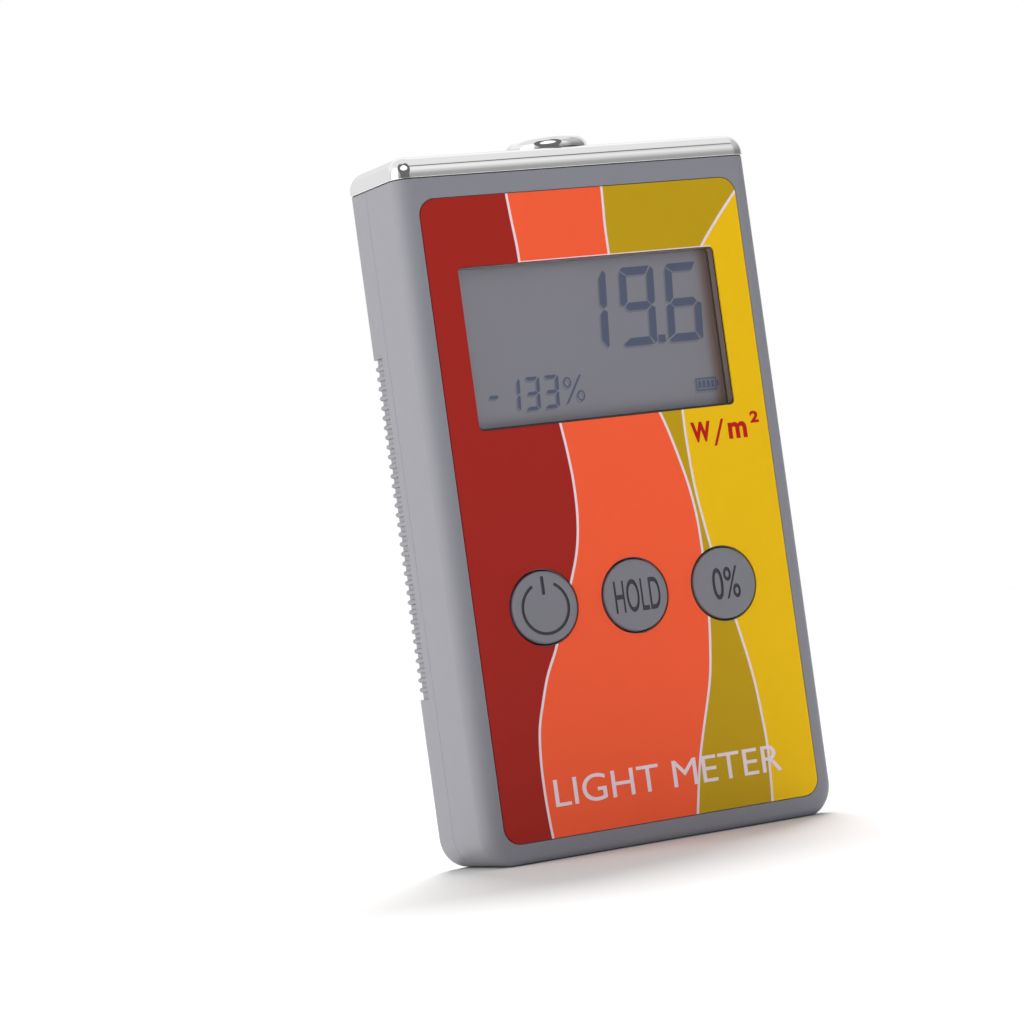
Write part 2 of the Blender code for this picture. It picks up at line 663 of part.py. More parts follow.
def chip(name, centre, half_w, half_h, height):
    """A moulded package with a chamfered top and leads that come out above and below it."""
    base = BOARD_BACK + CLOSE_GAP
    foot = plain_rect(centre, half_w, half_h)
    crown = plain_rect(centre, half_w - 0.2, half_h - 0.2)
    levels = [(base + 0.1, foot), (base + height * 0.6, foot), (base + height, crown)]
    body = stack(name, "Y", levels, "black_plastic")
    count = int(half_w)
    leads = []
    for index in range(count):
        offset = (index - (count - 1) / 2) * 2.0
        leads.append(plain_rect((centre[0] + offset, centre[1]), 0.3, half_h + 0.8))
    merge(body, prisms(name + "_leads", "Y", leads, base, base + 0.35))
    return body


def small_parts():
    """The parts on the rear face of the main board, above the batteries."""
    base = BOARD_BACK + CLOSE_GAP
    chip("microcontroller", (-6.0, 78.0), 5.0, 5.0, 1.4)
    chip("signal_amplifier", (10.0, 92.0), 2.5, 2.0, 1.5)
    chip("voltage_regulator", (14.0, 70.0), 2.2, 1.8, 1.6)
    can = rounded_rect((-18.0, 88.0), 5.4, 2.2, (2.1,) * 4, 3)
    lid = rounded_rect((-18.0, 88.0), 5.0, 1.8, (1.7,) * 4, 3)
    stack("crystal", "Y", [(base, can), (base + 3.0, can), (base + 3.4, lid)], "nickel")
    drum = [(0, base), (2.4, base), (2.5, base + 0.4), (2.5, base + 6.6), (2.2, base + 7.0), (0, base + 6.8)]
    turned("filter_capacitor", "Y", (18.0, 80.0), drum, "black_plastic", 16)
    socket = box_outline(3.2, SOCKET_Z - 2.0, SOCKET_Z + 2.0)
    connector = prism("sensor_connector", "Y", socket, base, base + 4.5, "white_plastic")
    pockets = [box_outline(0.9, SOCKET_Z - 1.2, SOCKET_Z + 2.5, x) for x in (-1.6, 1.6)]
    cut(connector, prisms("connector_pockets", "Y", pockets, base + 1.2, base + 3.6))


def wire(name, points, material):
    """A round insulated wire along a smooth curve through its points."""
    curve = bpy.data.curves.new(name, "CURVE")
    curve.dimensions = "3D"
    curve.bevel_depth = WIRE_R * MM
    curve.bevel_resolution = 1
    curve.use_fill_caps = True
    spline = curve.splines.new("POLY")
    route = smooth_route(points)
    spline.points.add(len(route) - 1)
    for place, point in zip(spline.points, route):
        place.co = (*[value * MM for value in point], 1.0)
    curve.materials.append(finish(material))
    obj = bpy.data.objects.new(name, curve)
    bpy.context.scene.collection.objects.link(obj)
    return obj


def between(before, start, end, after, t):
    """One coordinate of a Catmull-Rom curve, at share t of the way from start to end."""
    slope = end - before
    bend = 2 * before - 5 * start + 4 * end - after
    twist = 3 * start - before - 3 * end + after
    return 0.5 * (2 * start + slope * t + bend * t**2 + twist * t**3)


def smooth_route(points, steps=3):
    """Points of a smooth curve through a route."""
    padded = [points[0]] + list(points) + [points[-1]]
    route = []
    for stretch in zip(padded, padded[1:], padded[2:], padded[3:]):
        for step in range(steps):
            route.append([between(*values, step / steps) for values in zip(*stretch)])
    route.append(list(points[-1]))
    return route


def sensor_leads(board_bottom):
    top = board_bottom - CLOSE_GAP
    exit_y = BOARD_BACK + CLOSE_GAP + 2.4
    for colour, side in (("red", 1), ("black", -1)):
        route = [
            (side * 1.6, 1.5, top),
            (side * 1.6, 1.7, top - 3.5),
            (side * 2.6, 1.0, top - 8.0),
            (side * 1.8, exit_y + 0.3, SOCKET_Z + 3.6),
            (side * 1.6, exit_y, SOCKET_Z - 0.8),
        ]
        wire("sensor_lead_" + colour, route, colour + "_wire")


# ---- Batteries -----------------------------------------------------------------------------------


def cell_places():
    """(number, x, whether the nub points up) of each cell, left to right seen from the front."""
    for number in range(4):
        yield number + 1, CELL_PITCH * (number - 1.5), number % 2 == 0


def battery_cell(number, x, nub_up):
    low = BAY_BOTTOM + CLOSE_GAP + PLATE_THICK + CLOSE_GAP
    high = BAY_TOP - CLOSE_GAP - PLATE_THICK - CLOSE_GAP
    sign = 1 if nub_up else -1
    tip = high if nub_up else low
    body = tip - sign * CELL_NUB
    base = tip - sign * CELL_LENGTH
    profile = [
        (0, tip),
        (1.9, tip),
        (1.9, body),
        (CELL_R - 0.4, body),
        (CELL_R, body - sign * 0.4),
        (CELL_R, base + sign * 0.3),
        (CELL_R - 0.6, base),
        (0, base),
    ]
    turned("battery_cell_" + str(number), "Z", (x, CELL_Y), profile, "cell_sleeve", 20)
    return base


def battery_spring(number, x, cell_base, nub_up):
    """A conical coil between the cell's flat end and the contact plate."""
    plate = BAY_BOTTOM + CLOSE_GAP + PLATE_THICK if nub_up else BAY_TOP - CLOSE_GAP - PLATE_THICK
    sign = 1 if nub_up else -1
    start = plate + sign * (CLOSE_GAP + 0.35)
    end = cell_base - sign * (CLOSE_GAP + 0.35)
    turns = 3
    per_turn = 9
    curve = bpy.data.curves.new("spring", "CURVE")
    curve.dimensions = "3D"
    curve.bevel_depth = 0.35 * MM
    curve.bevel_resolution = 0
    curve.use_fill_caps = True
    spline = curve.splines.new("POLY")
    count = turns * per_turn + 1
    spline.points.add(count - 1)
    for index, place in enumerate(spline.points):
        share = index / (count - 1)
        angle = 2 * math.pi * index / per_turn
        radius = 3.9 - 1.5 * share
        point = (radius * math.cos(angle), radius * math.sin(angle), start + (end - start) * share)
        place.co = ((x + point[0]) * MM, (CELL_Y + point[1]) * MM, point[2] * MM, 1.0)
    curve.materials.append(finish("nickel"))
    spring = bpy.data.objects.new("battery_spring_" + str(number), curve)
    bpy.context.scene.collection.objects.link(spring)


def contact_plate(name, x_low, x_high, at_top):
    """A sprung contact strip against one end wall of the bay."""
    z = BAY_TOP - CLOSE_GAP - PLATE_THICK if at_top else BAY_BOTTOM + CLOSE_GAP
    centre = ((x_low + x_high) / 2, CELL_Y)
    outline = rounded_rect(centre, (x_high - x_low) / 2, 4.2, (0.8,) * 4, 1)
    return prism(name, "Z", outline, z, z + PLATE_THICK, "nickel")


def battery_parts():
    for number, x, nub_up in cell_places():
        base = battery_cell(number, x, nub_up)
        battery_spring(number, x, base, nub_up)
    reach = CELL_PITCH * 1.5 + 4.4
    inner = CELL_PITCH * 0.5 + 4.4
    contact_plate("battery_bridge_upper_left", -reach, -CELL_PITCH * 0.5 + 4.4, True)
    contact_plate("battery_bridge_upper_right", CELL_PITCH * 0.5 - 4.4, reach, True)
    contact_plate("battery_bridge_lower", -inner, inner, False)
    contact_plate("battery_terminal_negative", -reach - 1.4, -CELL_PITCH * 1.5 + 4.4, False)
    contact_plate("battery_terminal_positive", CELL_PITCH * 1.5 - 4.4, reach + 1.4, False)


def battery_leads():
    """From each terminal, through the bay's floor, up to the rear of the board."""
    for colour, side in (("red", 1), ("black", -1)):
        x = side * LEAD_X
        wire_y = BAY_FLOOR_Y - BAY_FLOOR - 1.9
        route = [
            (x, -0.8, LEAD_Z),
            (x, BAY_FLOOR_Y - BAY_FLOOR, LEAD_Z),
            (x, wire_y, LEAD_Z + 1.6),
            (x, wire_y - 0.3, BOARD_BOTTOM - 3.0),
            (x, BOARD_FRONT + 0.6, BOARD_BOTTOM - CLOSE_GAP - 0.1),
        ]
        wire("battery_lead_" + colour, route, colour + "_wire")


# ---- Fasteners and label -------------------------------------------------------------------------


def screw(name, axis, centre, head_face, tip, head_r, shank_r, head_height):
    """A pan-head screw with a socket. The head's outer face and the tip give its direction."""
    sign = 1 if tip > head_face else -1
    seat = head_face + sign * head_height
    profile = [
        (0, head_face + sign * head_height * 0.6),
        (head_r * 0.4, head_face + sign * head_height * 0.5),
        (head_r * 0.5, head_face),
        (head_r * 0.8, head_face),
        (head_r, head_face + sign * head_height * 0.4),
        (head_r, seat),
        (shank_r, seat),
        (shank_r, tip - sign * 0.5),
        (0, tip),
    ]
    return turned(name, axis, centre, profile, "steel", 10)


def fasteners():
    for number, place in enumerate(CASE_SCREWS, 1):
        name = "case_screw_" + str(number)
        screw(name, "Y", place, PARTING_Y + 3 + 1.9, FRONT_WALL_Y + 2.0, 2.1, 1.05, 1.75)
    for number, place in enumerate(BOARD_SCREWS, 1):
        name = "board_screw_" + str(number)
        screw(name, "Y", place, BOARD_BACK + 1.25, FRONT_WALL_Y + 1.2, 1.9, 0.85, 1.1)
    for label, x in (("left", -CAP_SCREW_X), ("right", CAP_SCREW_X)):
        screw("cap_screw_" + label, "Z", (x, 0), CAVITY_TOP - 1.45, CAP_TOP - CAP_WALL, 1.9, 0.9, 1.3)


def rear_label():
    outline = rounded_rect((0, LABEL_Z), LABEL_HALF_W, LABEL_HALF_H, (1.3,) * 4)
    return prism("rear_label", "Y", outline, BACK - 0.45, BACK - 0.05, "label_plate")


def build():
    clear_scene()
    front_shell()
    rear_shell()
    top_cap()
    sensor_collar()
    sensor_leads(sensor_parts())
    front_overlay()
    display_lens()
    lcd_glass()
    display_frame()
    zebra_strip()
    main_board()
    small_parts()
    for label, x in BUTTON_X.items():
        push_button(label, x)
        tact_switch(label, x)
        switch_plunger(label, x)
    battery_door()
    battery_parts()
    battery_leads()
    fasteners()
    rear_label()


build()
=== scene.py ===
"""The looks of the handheld light meter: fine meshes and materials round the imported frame.

The meter's sizes are in millimetres in the row frame, and MM turns them into metres as each mesh is
made; the camera, the lamps and the floor are placed in metres. Places come from the boxes of the
frame's nodes. Z is up and the front faces -Y.
"""

import json
import math

import bmesh
import bpy
from mathutils import Matrix, Vector
from mathutils.geometry import delaunay_2d_cdt


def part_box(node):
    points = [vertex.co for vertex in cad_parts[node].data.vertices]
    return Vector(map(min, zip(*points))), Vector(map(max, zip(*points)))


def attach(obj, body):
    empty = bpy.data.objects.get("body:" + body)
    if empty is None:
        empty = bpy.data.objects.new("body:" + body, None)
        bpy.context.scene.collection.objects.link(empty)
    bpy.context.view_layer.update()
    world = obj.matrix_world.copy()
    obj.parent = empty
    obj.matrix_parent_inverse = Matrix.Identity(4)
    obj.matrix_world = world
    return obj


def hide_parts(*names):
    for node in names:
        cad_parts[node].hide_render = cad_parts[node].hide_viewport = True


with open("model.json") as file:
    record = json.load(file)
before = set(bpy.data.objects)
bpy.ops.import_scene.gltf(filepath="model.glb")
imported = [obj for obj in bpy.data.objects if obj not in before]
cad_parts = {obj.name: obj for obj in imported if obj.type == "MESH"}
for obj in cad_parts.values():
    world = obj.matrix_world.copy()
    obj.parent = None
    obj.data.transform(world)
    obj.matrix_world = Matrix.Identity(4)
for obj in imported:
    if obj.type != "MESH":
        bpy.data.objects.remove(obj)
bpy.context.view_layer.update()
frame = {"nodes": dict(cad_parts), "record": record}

MM = 0.001


def node_box(name):
    """Lowest corner, highest corner and middle of a frame node, in millimetres."""
    low, high = (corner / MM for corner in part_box(name))
    return low, high, (low + high) / 2


# ---- Places taken from the frame ----

FRONT_LOW, FRONT_HIGH, _ = node_box("front_shell")
_, REAR_HIGH, _ = node_box("rear_shell")
CAP_LOW, CAP_HIGH, _ = node_box("top_cap")
COLLAR_LOW, COLLAR_HIGH, _ = node_box("sensor_collar")
FILM_LOW, FILM_HIGH, FILM_MIDDLE = node_box("front_overlay")
LENS_LOW, LENS_HIGH, LENS_MIDDLE = node_box("display_lens")
LCD_LOW, LCD_HIGH, LCD_MIDDLE = node_box("lcd_glass")
DOOR_LOW, DOOR_HIGH, _ = node_box("battery_door")
LABEL_LOW, LABEL_HIGH, LABEL_MIDDLE = node_box("rear_label")
BUTTONS = {label: node_box(label + "_button") for label in ("power", "hold", "zero")}

HALF_W = FRONT_HIGH.x
FRONT = FRONT_LOW.y
BACK = REAR_HIGH.y
CASE_TOP = FRONT_HIGH.z
PARTING = FRONT_HIGH.y + 0.07
SEAM = 0.06
FRONT_EDGE_R = 3.06
REAR_EDGE_R = 2.6
BOTTOM_EDGE_R = 1.2
BOTTOM_CORNER_R = 5.5
WALL = 2.0
FRONT_WALL_Y = FRONT + 2.2
REAR_WALL_Y = BACK - 1.7
CAVITY_TOP = CASE_TOP - 1.6
CASE_SCREW_X = 28.3
CASE_SCREW_Z = (8.5, 110.3)
SCREW_BOSS_R = 3.1
SCREW_HOLE_R = 1.3
SCREW_HEAD_HOLE_R = 2.5
SCREW_SEAT = 3
SENSOR_HOLE_R = 5.5

FILM_CORNER_R = 3.0
FILM_HALF_H = (FILM_HIGH.z - FILM_LOW.z) / 2
FILM_GAP = 0.15
FILM_RECESS = 0.6
LENS_FLANGE = 1.5
WINDOW_HALF_W = (LENS_HIGH.x - LENS_LOW.x) / 2 - LENS_FLANGE
WINDOW_HALF_H = (LENS_HIGH.z - LENS_LOW.z) / 2 - LENS_FLANGE
WINDOW_CORNER_R = 0.9
BUTTON_R = 6.3
BUTTON_HOLE_R = 6.5
FILM_HOLE_R = 6.62

BAY_HALF_W = 23.3
BAY_BOTTOM = 6.9
BAY_TOP = 58.6
BAY_FLOOR_Y = -2.1
BAY_WALL = 1.6
DOOR_HALF_W = DOOR_HIGH.x - 1.0
DOOR_Y = (DOOR_LOW.y + DOOR_HIGH.y) / 2
DOOR_THICK = DOOR_HIGH.y - DOOR_LOW.y
DOOR_TOP = DOOR_HIGH.z - 1.8
HINGE = (DOOR_Y, DOOR_LOW.z + DOOR_THICK / 2)
HINGE_PIN_R = 0.4
PIN_LENGTH = 1.0
TONGUE_HALF_W = 4.0
HINGE_SOCKET_R = 0.65
DOOR_GAP = 0.3
DOOR_RIDGE_Z = (51.45, 53.45, 55.45)
LEAD_HOLES = ((20.4, 9.0), (-20.4, 9.0))
LEAD_HOLE_R = 0.9
LABEL_HALF_H = (LABEL_HIGH.z - LABEL_LOW.z) / 2
LABEL_GAP = 0.3
LABEL_RECESS = 0.7

RIB_BOTTOM = 29.6
RIB_PITCH = 1.692
RIB_COUNT = 34
RIB_HALF_W = 0.44
RIB_HEIGHT = 0.52
GRIP_DEPTH = 0.6
GRIP_Y = FRONT + 14.8
GRIP_END_X = 30.6

CAP_EDGE_R = 3.3
CAP_WALL = 1.6
CAP_PROUD = 0.2
CAP_BEVEL = 0.05
GASKET_INSET = 0.32
COLLAR_R = COLLAR_HIGH.x
COLLAR_DOME_R = 1.9
COLLAR_RIM_R = 6.3
COLLAR_NECK_R = 5.1
COLLAR_BORE_R = 4.25
APERTURE_R = 3.5

# How finely round shapes are divided.
CORNER_STEPS = 14
EDGE_STEPS = 10
ROUND_STEPS = 72

# How far the tools of a Boolean reach past the surface that they open.
PAST = 1

# ---- Camera, as found from the vertical and level edges of the meter ----

CAMERA_AT = Vector((-0.2922, -0.5390, 0.0404))
CAMERA_HEADING = math.radians(27.105)
CAMERA_PITCH = math.radians(1.82)
CAMERA_ROLL = math.radians(7.848)
CAMERA_LENS = 123.24


def linked(name, data):
    """A new object in the scene."""
    obj = bpy.data.objects.new(name, data)
    bpy.context.scene.collection.objects.link(obj)
    return obj


def camera():
    """The camera looks along a heading to the right of +Y, a little up, and leans to its right."""
    data = bpy.data.cameras.new("camera")
    data.lens = CAMERA_LENS
    data.sensor_width = 36.0
    data.clip_start = 0.01
    obj = linked("camera", data)
    turn = Matrix.Rotation(-CAMERA_HEADING, 4, "Z")
    tilt = Matrix.Rotation(math.pi / 2 + CAMERA_PITCH, 4, "X")
    lean = Matrix.Rotation(-CAMERA_ROLL, 4, "Z")
    obj.matrix_world = Matrix.Translation(CAMERA_AT) @ turn @ tilt @ lean
    bpy.context.scene.camera = obj


# ---- Outlines ----


def arc(centre, radius_u, radius_v, start, end, steps):
    """Points of an elliptic arc from start to end degrees, both ends included."""
    points = []
    for step in range(steps + 1):
        angle = math.radians(start + (end - start) * step / steps)
        points.append((centre[0] + radius_u * math.cos(angle), centre[1] + radius_v * math.sin(angle)))
    return points


def rounded_rect(centre, half_u, half_v, radii, steps=CORNER_STEPS):
    """A rectangle's outline with one radius, or the radius of each corner: (+,+), (-,+), (-,-), (+,-)."""
    points = []
    radii = radii if isinstance(radii, tuple) else (radii,) * 4
    signs = ((1, 1), (-1, 1), (-1, -1), (1, -1))
    for quarter, ((sign_u, sign_v), radius) in enumerate(zip(signs, radii)):
        corner = (centre[0] + sign_u * (half_u - radius), centre[1] + sign_v * (half_v - radius))
        points += arc(corner, radius, radius, 90 * quarter, 90 * quarter + 90, steps)
    return points


def box_outline(half_u, low_v, high_v, centre_u=0.0):
    left, right = centre_u - half_u, centre_u + half_u
    return [(right, high_v), (left, high_v), (left, low_v), (right, low_v)]


def circle(centre, radius, steps=ROUND_STEPS):
    return arc(centre, radius, radius, 0, 360 - 360 / steps, steps - 1)


def placed(outline, axis, level):
    """An outline as 3-D points on the plane at this level of the axis: (x, z) on Y, (x, y) on Z."""
    if axis == "Y":
        return [(u, level, v) for u, v in outline]
    if axis == "Z":
        return [(u, v, level) for u, v in outline]
    return [(level, u, v) for u, v in outline]


# ---- Meshes ----


def made(name, builder, *materials):
    """An object from a bmesh in millimetres, in place in the row frame."""
    bmesh.ops.scale(builder, vec=(MM,) * 3, verts=builder.verts)
    bmesh.ops.recalc_face_normals(builder, faces=builder.faces)
    mesh = bpy.data.meshes.new(name)
    builder.to_mesh(mesh)
    builder.free()
    for material in materials:
        mesh.materials.append(material)
    return linked(name, mesh)


def add_loft(builder, sections, closed=False):
    """Adds a solid through sections of equal length; a closed one joins its last section to its first."""
    rings = [[builder.verts.new(point) for point in section] for section in sections]
    count = len(sections[0])
    pairs = list(zip(rings, rings[1:]))
    if closed:
        pairs.append((rings[-1], rings[0]))
    for lower, upper in pairs:
        for index in range(count):
            following = (index + 1) % count
            builder.faces.new((lower[index], lower[following], upper[following], upper[index]))
    if not closed:
        builder.faces.new(list(reversed(rings[0])))
        builder.faces.new(rings[-1])


def stack(name, axis, levels, *materials):
    """A solid through (level, outline) pairs along an axis."""
    builder = bmesh.new()
    add_loft(builder, [placed(outline, axis, level) for level, outline in levels])
    return made(name, builder, *materials)


def prisms(name, axis, outlines, start, end, *materials):
    """Separate prisms in one object."""
    builder = bmesh.new()
    for outline in outlines:
        add_loft(builder, [placed(outline, axis, start), placed(outline, axis, end)])
    return made(name, builder, *materials)


def blocks(outlines, start, end, axis="Y"):
    """Prisms that serve as the tool of a Boolean."""
    return prisms("blocks", axis, outlines, start, end)


def turned(name, axis, centre, profile, *materials, steps=ROUND_STEPS):
    """A solid of revolution through (radius, level) points, which start and end on the axis or close."""
    builder = bmesh.new()
    rings = []
    for radius, level in profile:
        outline = circle(centre, radius, steps) if radius > 0 else [centre]
        rings.append([builder.verts.new(point) for point in placed(outline, axis, level)])
    pairs = list(zip(rings, rings[1:]))
    if profile[0][0] > 0:
        pairs.append((rings[-1], rings[0]))
    for lower, upper in pairs:
        for index in range(steps):
            following = (index + 1) % steps
            corners = [lower[index % len(lower)], lower[following % len(lower)]]
            corners += [upper[following % len(upper)], upper[index % len(upper)]]
            builder.faces.new(list(dict.fromkeys(corners)))
    return made(name, builder, *materials)


def boolean(obj, tool, operation):
    """Applies a Boolean and removes its tool."""
    modifier = obj.modifiers.new("boolean", "BOOLEAN")
    modifier.operation = operation
    modifier.solver = "EXACT"
    modifier.object = tool
    graph = bpy.context.evaluated_depsgraph_get()
    mesh = bpy.data.meshes.new_from_object(obj.evaluated_get(graph))
    obj.modifiers.clear()
    obj.data = mesh
    bpy.data.objects.remove(tool, do_unlink=True)


def cut(obj, tool):
    boolean(obj, tool, "DIFFERENCE")


def merge(obj, tool):
    boolean(obj, tool, "UNION")


def smooth(obj, angle=32.0):
    """Smooth shading that keeps flat faces flat and edges sharper than the angle crisp."""
    obj.data.shade_smooth()
    obj.data.set_sharp_from_angle(angle=math.radians(angle))
    modifier = obj.modifiers.new("normals", "WEIGHTED_NORMAL")
    modifier.keep_sharp = True
    modifier.weight = 100
    return obj


def piece(obj, slot, *replaced, body="case"):
    """Puts a finished piece on its body and hides the nodes that it stands for; slot is not used."""
    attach(obj, body)
    if replaced:
        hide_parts(*replaced)
    return obj


# ---- Materials ----


class Graph:
    """Adds nodes to a node tree; an input is a plain value or another node's output."""

    def __init__(self, tree):
        self.tree = tree

    def feed(self, node, inputs):
        for name, value in dict(inputs).items():
            if isinstance(value, bpy.types.NodeSocket):
                self.tree.links.new(value, node.inputs[name])
            else:
                node.inputs[name].default_value = value

    def add(self, kind, inputs=(), **settings):
        node = self.tree.nodes.new(kind)
        for name, value in settings.items():
            setattr(node, name, value)
        self.feed(node, inputs)
        return node

    def math(self, operation, *values):
        return self.add("ShaderNodeMath", enumerate(values), operation=operation).outputs[0]

    def product(self, first, *others):
        for other in others:
            first = self.math("MULTIPLY", first, other)
        return first

    def off(self, value, middle):
        """How far a number is from a middle value, on either side."""
        return self.math("ABSOLUTE", self.math("SUBTRACT", value, middle))

    def ramp(self, value, low, high, start=0.0, end=1.0, blend="LINEAR"):
        """Maps low..high to start..end, held at both ends."""
        inputs = {"Value": value, "From Min": low, "From Max": high, "To Min": start, "To Max": end}
        return self.add("ShaderNodeMapRange", inputs, interpolation_type=blend).outputs[0]

    def fade(self, value, low, high, start=0.0, end=1.0):
        """The same as a ramp, with soft ends."""
        return self.ramp(value, low, high, start, end, "SMOOTHSTEP")

    def blend(self, share, first, second):
        """Blends two numbers."""
        return self.add("ShaderNodeMix", {0: share, 2: first, 3: second}).outputs[0]

    def noise(self, place, size_mm, detail):
        """Noise whose features are about this large."""
        inputs = {"Vector": place, "Scale": 1.0 / (size_mm * MM), "Detail": detail}
        return self.add("ShaderNodeTexNoise", inputs).outputs[0]

    def mix(self, share, first, second):
        """Blends two colours."""
        return self.add("ShaderNodeMix", {0: share, 6: first, 7: second}, data_type="RGBA").outputs[2]

    def relief(self, height, depth_mm):
        """The normal of a surface whose relief is this deep."""
        inputs = {"Height": height, "Distance": depth_mm * MM, "Strength": 1.0}
        return self.add("ShaderNodeBump", inputs).outputs[0]


def shade(colour, factor):
    return (*[min(channel * factor, 1.0) for channel in colour], 1.0)


def new_material(name):
    material = bpy.data.materials.new(name)
    material.use_nodes = True
    graph = Graph(material.node_tree)
    place = graph.add("ShaderNodeTexCoord").outputs["Object"]
    return material, graph, material.node_tree.nodes["Principled BSDF"], place


SOCKETS = {"metallic": "Metallic", "coat": "Coat Weight", "specular": "Specular IOR Level"}
SOCKETS["scatter"] = "Subsurface Weight"
CLOUD_SIZE = 9.0


def surface(name, colour, roughness, grain=0.25, bump=0.004, vary=0.05, **others):
    """A moulded, printed or metal surface: cloudy colour and roughness, and a fine grain in relief.

    grain is the grain's size and bump its height, in millimetres; vary is how far colour and roughness
    wander from their middle values.
    """
    material, graph, shader, place = new_material(name)
    clouds = graph.noise(place, CLOUD_SIZE, 3.0)
    fine = graph.noise(place, grain, 3.0)
    mottled = graph.mix(clouds, shade(colour, 1 - vary), shade(colour, 1 + vary))
    speckled = graph.mix(graph.ramp(fine, 0.35, 0.65, 0.0, 0.35), mottled, shade(colour, 1 - 2 * vary))
    rough = graph.ramp(clouds, 0.3, 0.7, roughness * (1 - vary), roughness * (1 + vary))
    graph.feed(shader, {"Base Color": speckled, "Roughness": rough, "Normal": graph.relief(fine, bump)})
    graph.feed(shader, {SOCKETS[key]: value for key, value in others.items()})
    return material


def chrome_material():
    """Bright plating: a faint waviness from the moulding under it, and a trace of handling haze."""
    material, graph, shader, place = new_material("bright_chrome")
    haze = graph.ramp(graph.noise(place, 3.0, 4.0), 0.4, 0.75, 0.03, 0.07)
    waves = graph.relief(graph.noise(place, 6.0, 1.0), 0.012)
    graph.feed(shader, {"Base Color": CHROME, "Metallic": 1.0, "Roughness": haze, "Normal": waves})
    return material


def lens_material(name, ior):
    """Clear acrylic that light goes straight through, with a surface gloss."""
    material, graph, shader, place = new_material(name)
    graph.tree.nodes.remove(shader)
    clear = graph.add("ShaderNodeBsdfTransparent", {"Color": LENS_TINT})
    haze = graph.ramp(graph.noise(place, 5.0, 3.0), 0.35, 0.7, 0.04, 0.09)
    gloss = graph.add("ShaderNodeBsdfGlossy", {"Roughness": haze})
    share = graph.add("ShaderNodeFresnel", {"IOR": ior}).outputs[0]
    mixed = graph.add("ShaderNodeMixShader", {0: share, 1: clear.outputs[0], 2: gloss.outputs[0]})
    graph.feed(graph.tree.nodes["Material Output"], {"Surface": mixed.outputs[0]})
    return material


def lcd_material():
    """The display's grey polariser, with a brown band of painted shade and painted reflection of the yellow
    print along its right edge.
    """
    material = surface("lcd_grey", LCD_GREY, 0.38, 0.15, 0.001, 0.015, specular=0.2)
    graph = Graph(material.node_tree)
    shader = material.node_tree.nodes["Principled BSDF"]
    place = graph.add("ShaderNodeTexCoord").outputs["Object"]
    across = graph.add("ShaderNodeSeparateXYZ", {0: place}).outputs[0]
    right = (LENS_MIDDLE.x + WINDOW_HALF_W) * MM
    # Painted shade and reflection: the brown fades in towards the window's right edge.
    painted_edge_shade = graph.fade(across, right - PAINTED_EDGE_SHADE_REACH * MM, right)
    grey = shader.inputs["Base Color"].links[0].from_socket
    graph.feed(shader, {"Base Color": graph.mix(painted_edge_shade, grey, LCD_PAINTED_EDGE_SHADE)})
    return material


def board_material():
    """Green solder mask over copper tracks that show as slightly lighter lines."""
    material, graph, shader, place = new_material("solder_mask")
    columns = graph.add("ShaderNodeTexWave", {"Vector": place, "Scale": 210.0, "Distortion": 6.0}).outputs[1]
    tracks = graph.ramp(columns, 0.78, 0.84)
    colour = graph.mix(tracks, MASK_GREEN, TRACK_GREEN)
    graph.feed(shader, {"Base Color": colour, "Normal": graph.relief(tracks, 0.03), "Roughness": 0.32})
    return material


GREY = (0.222, 0.223, 0.252)
CHROME = (0.90, 0.895, 0.90, 1.0)
LENS_TINT = (0.95, 0.96, 0.96, 1.0)
LCD_GREY = (0.50, 0.478, 0.535)
# The brown of painted shade and painted reflection of the yellow print along the display's right edge, and
# how far in it reaches.
LCD_PAINTED_EDGE_SHADE = (0.44, 0.30, 0.24, 1.0)
PAINTED_EDGE_SHADE_REACH = 2.6
MASK_GREEN = (0.012, 0.09, 0.04, 1.0)
TRACK_GREEN = (0.03, 0.17, 0.075, 1.0)

INK_COLOURS = {
    "dark_red": (0.35, 0.018, 0.012),
    "orange": (0.90, 0.11, 0.038),
    "olive": (0.50, 0.315, 0.006),
    "yellow": (0.82, 0.50, 0.004),
    "line_white": (0.78, 0.66, 0.70),
}


def ink(name):
    return surface(name + "_ink", INK_COLOURS[name], 0.34, 0.3, 0.002, 0.02, specular=0.12)


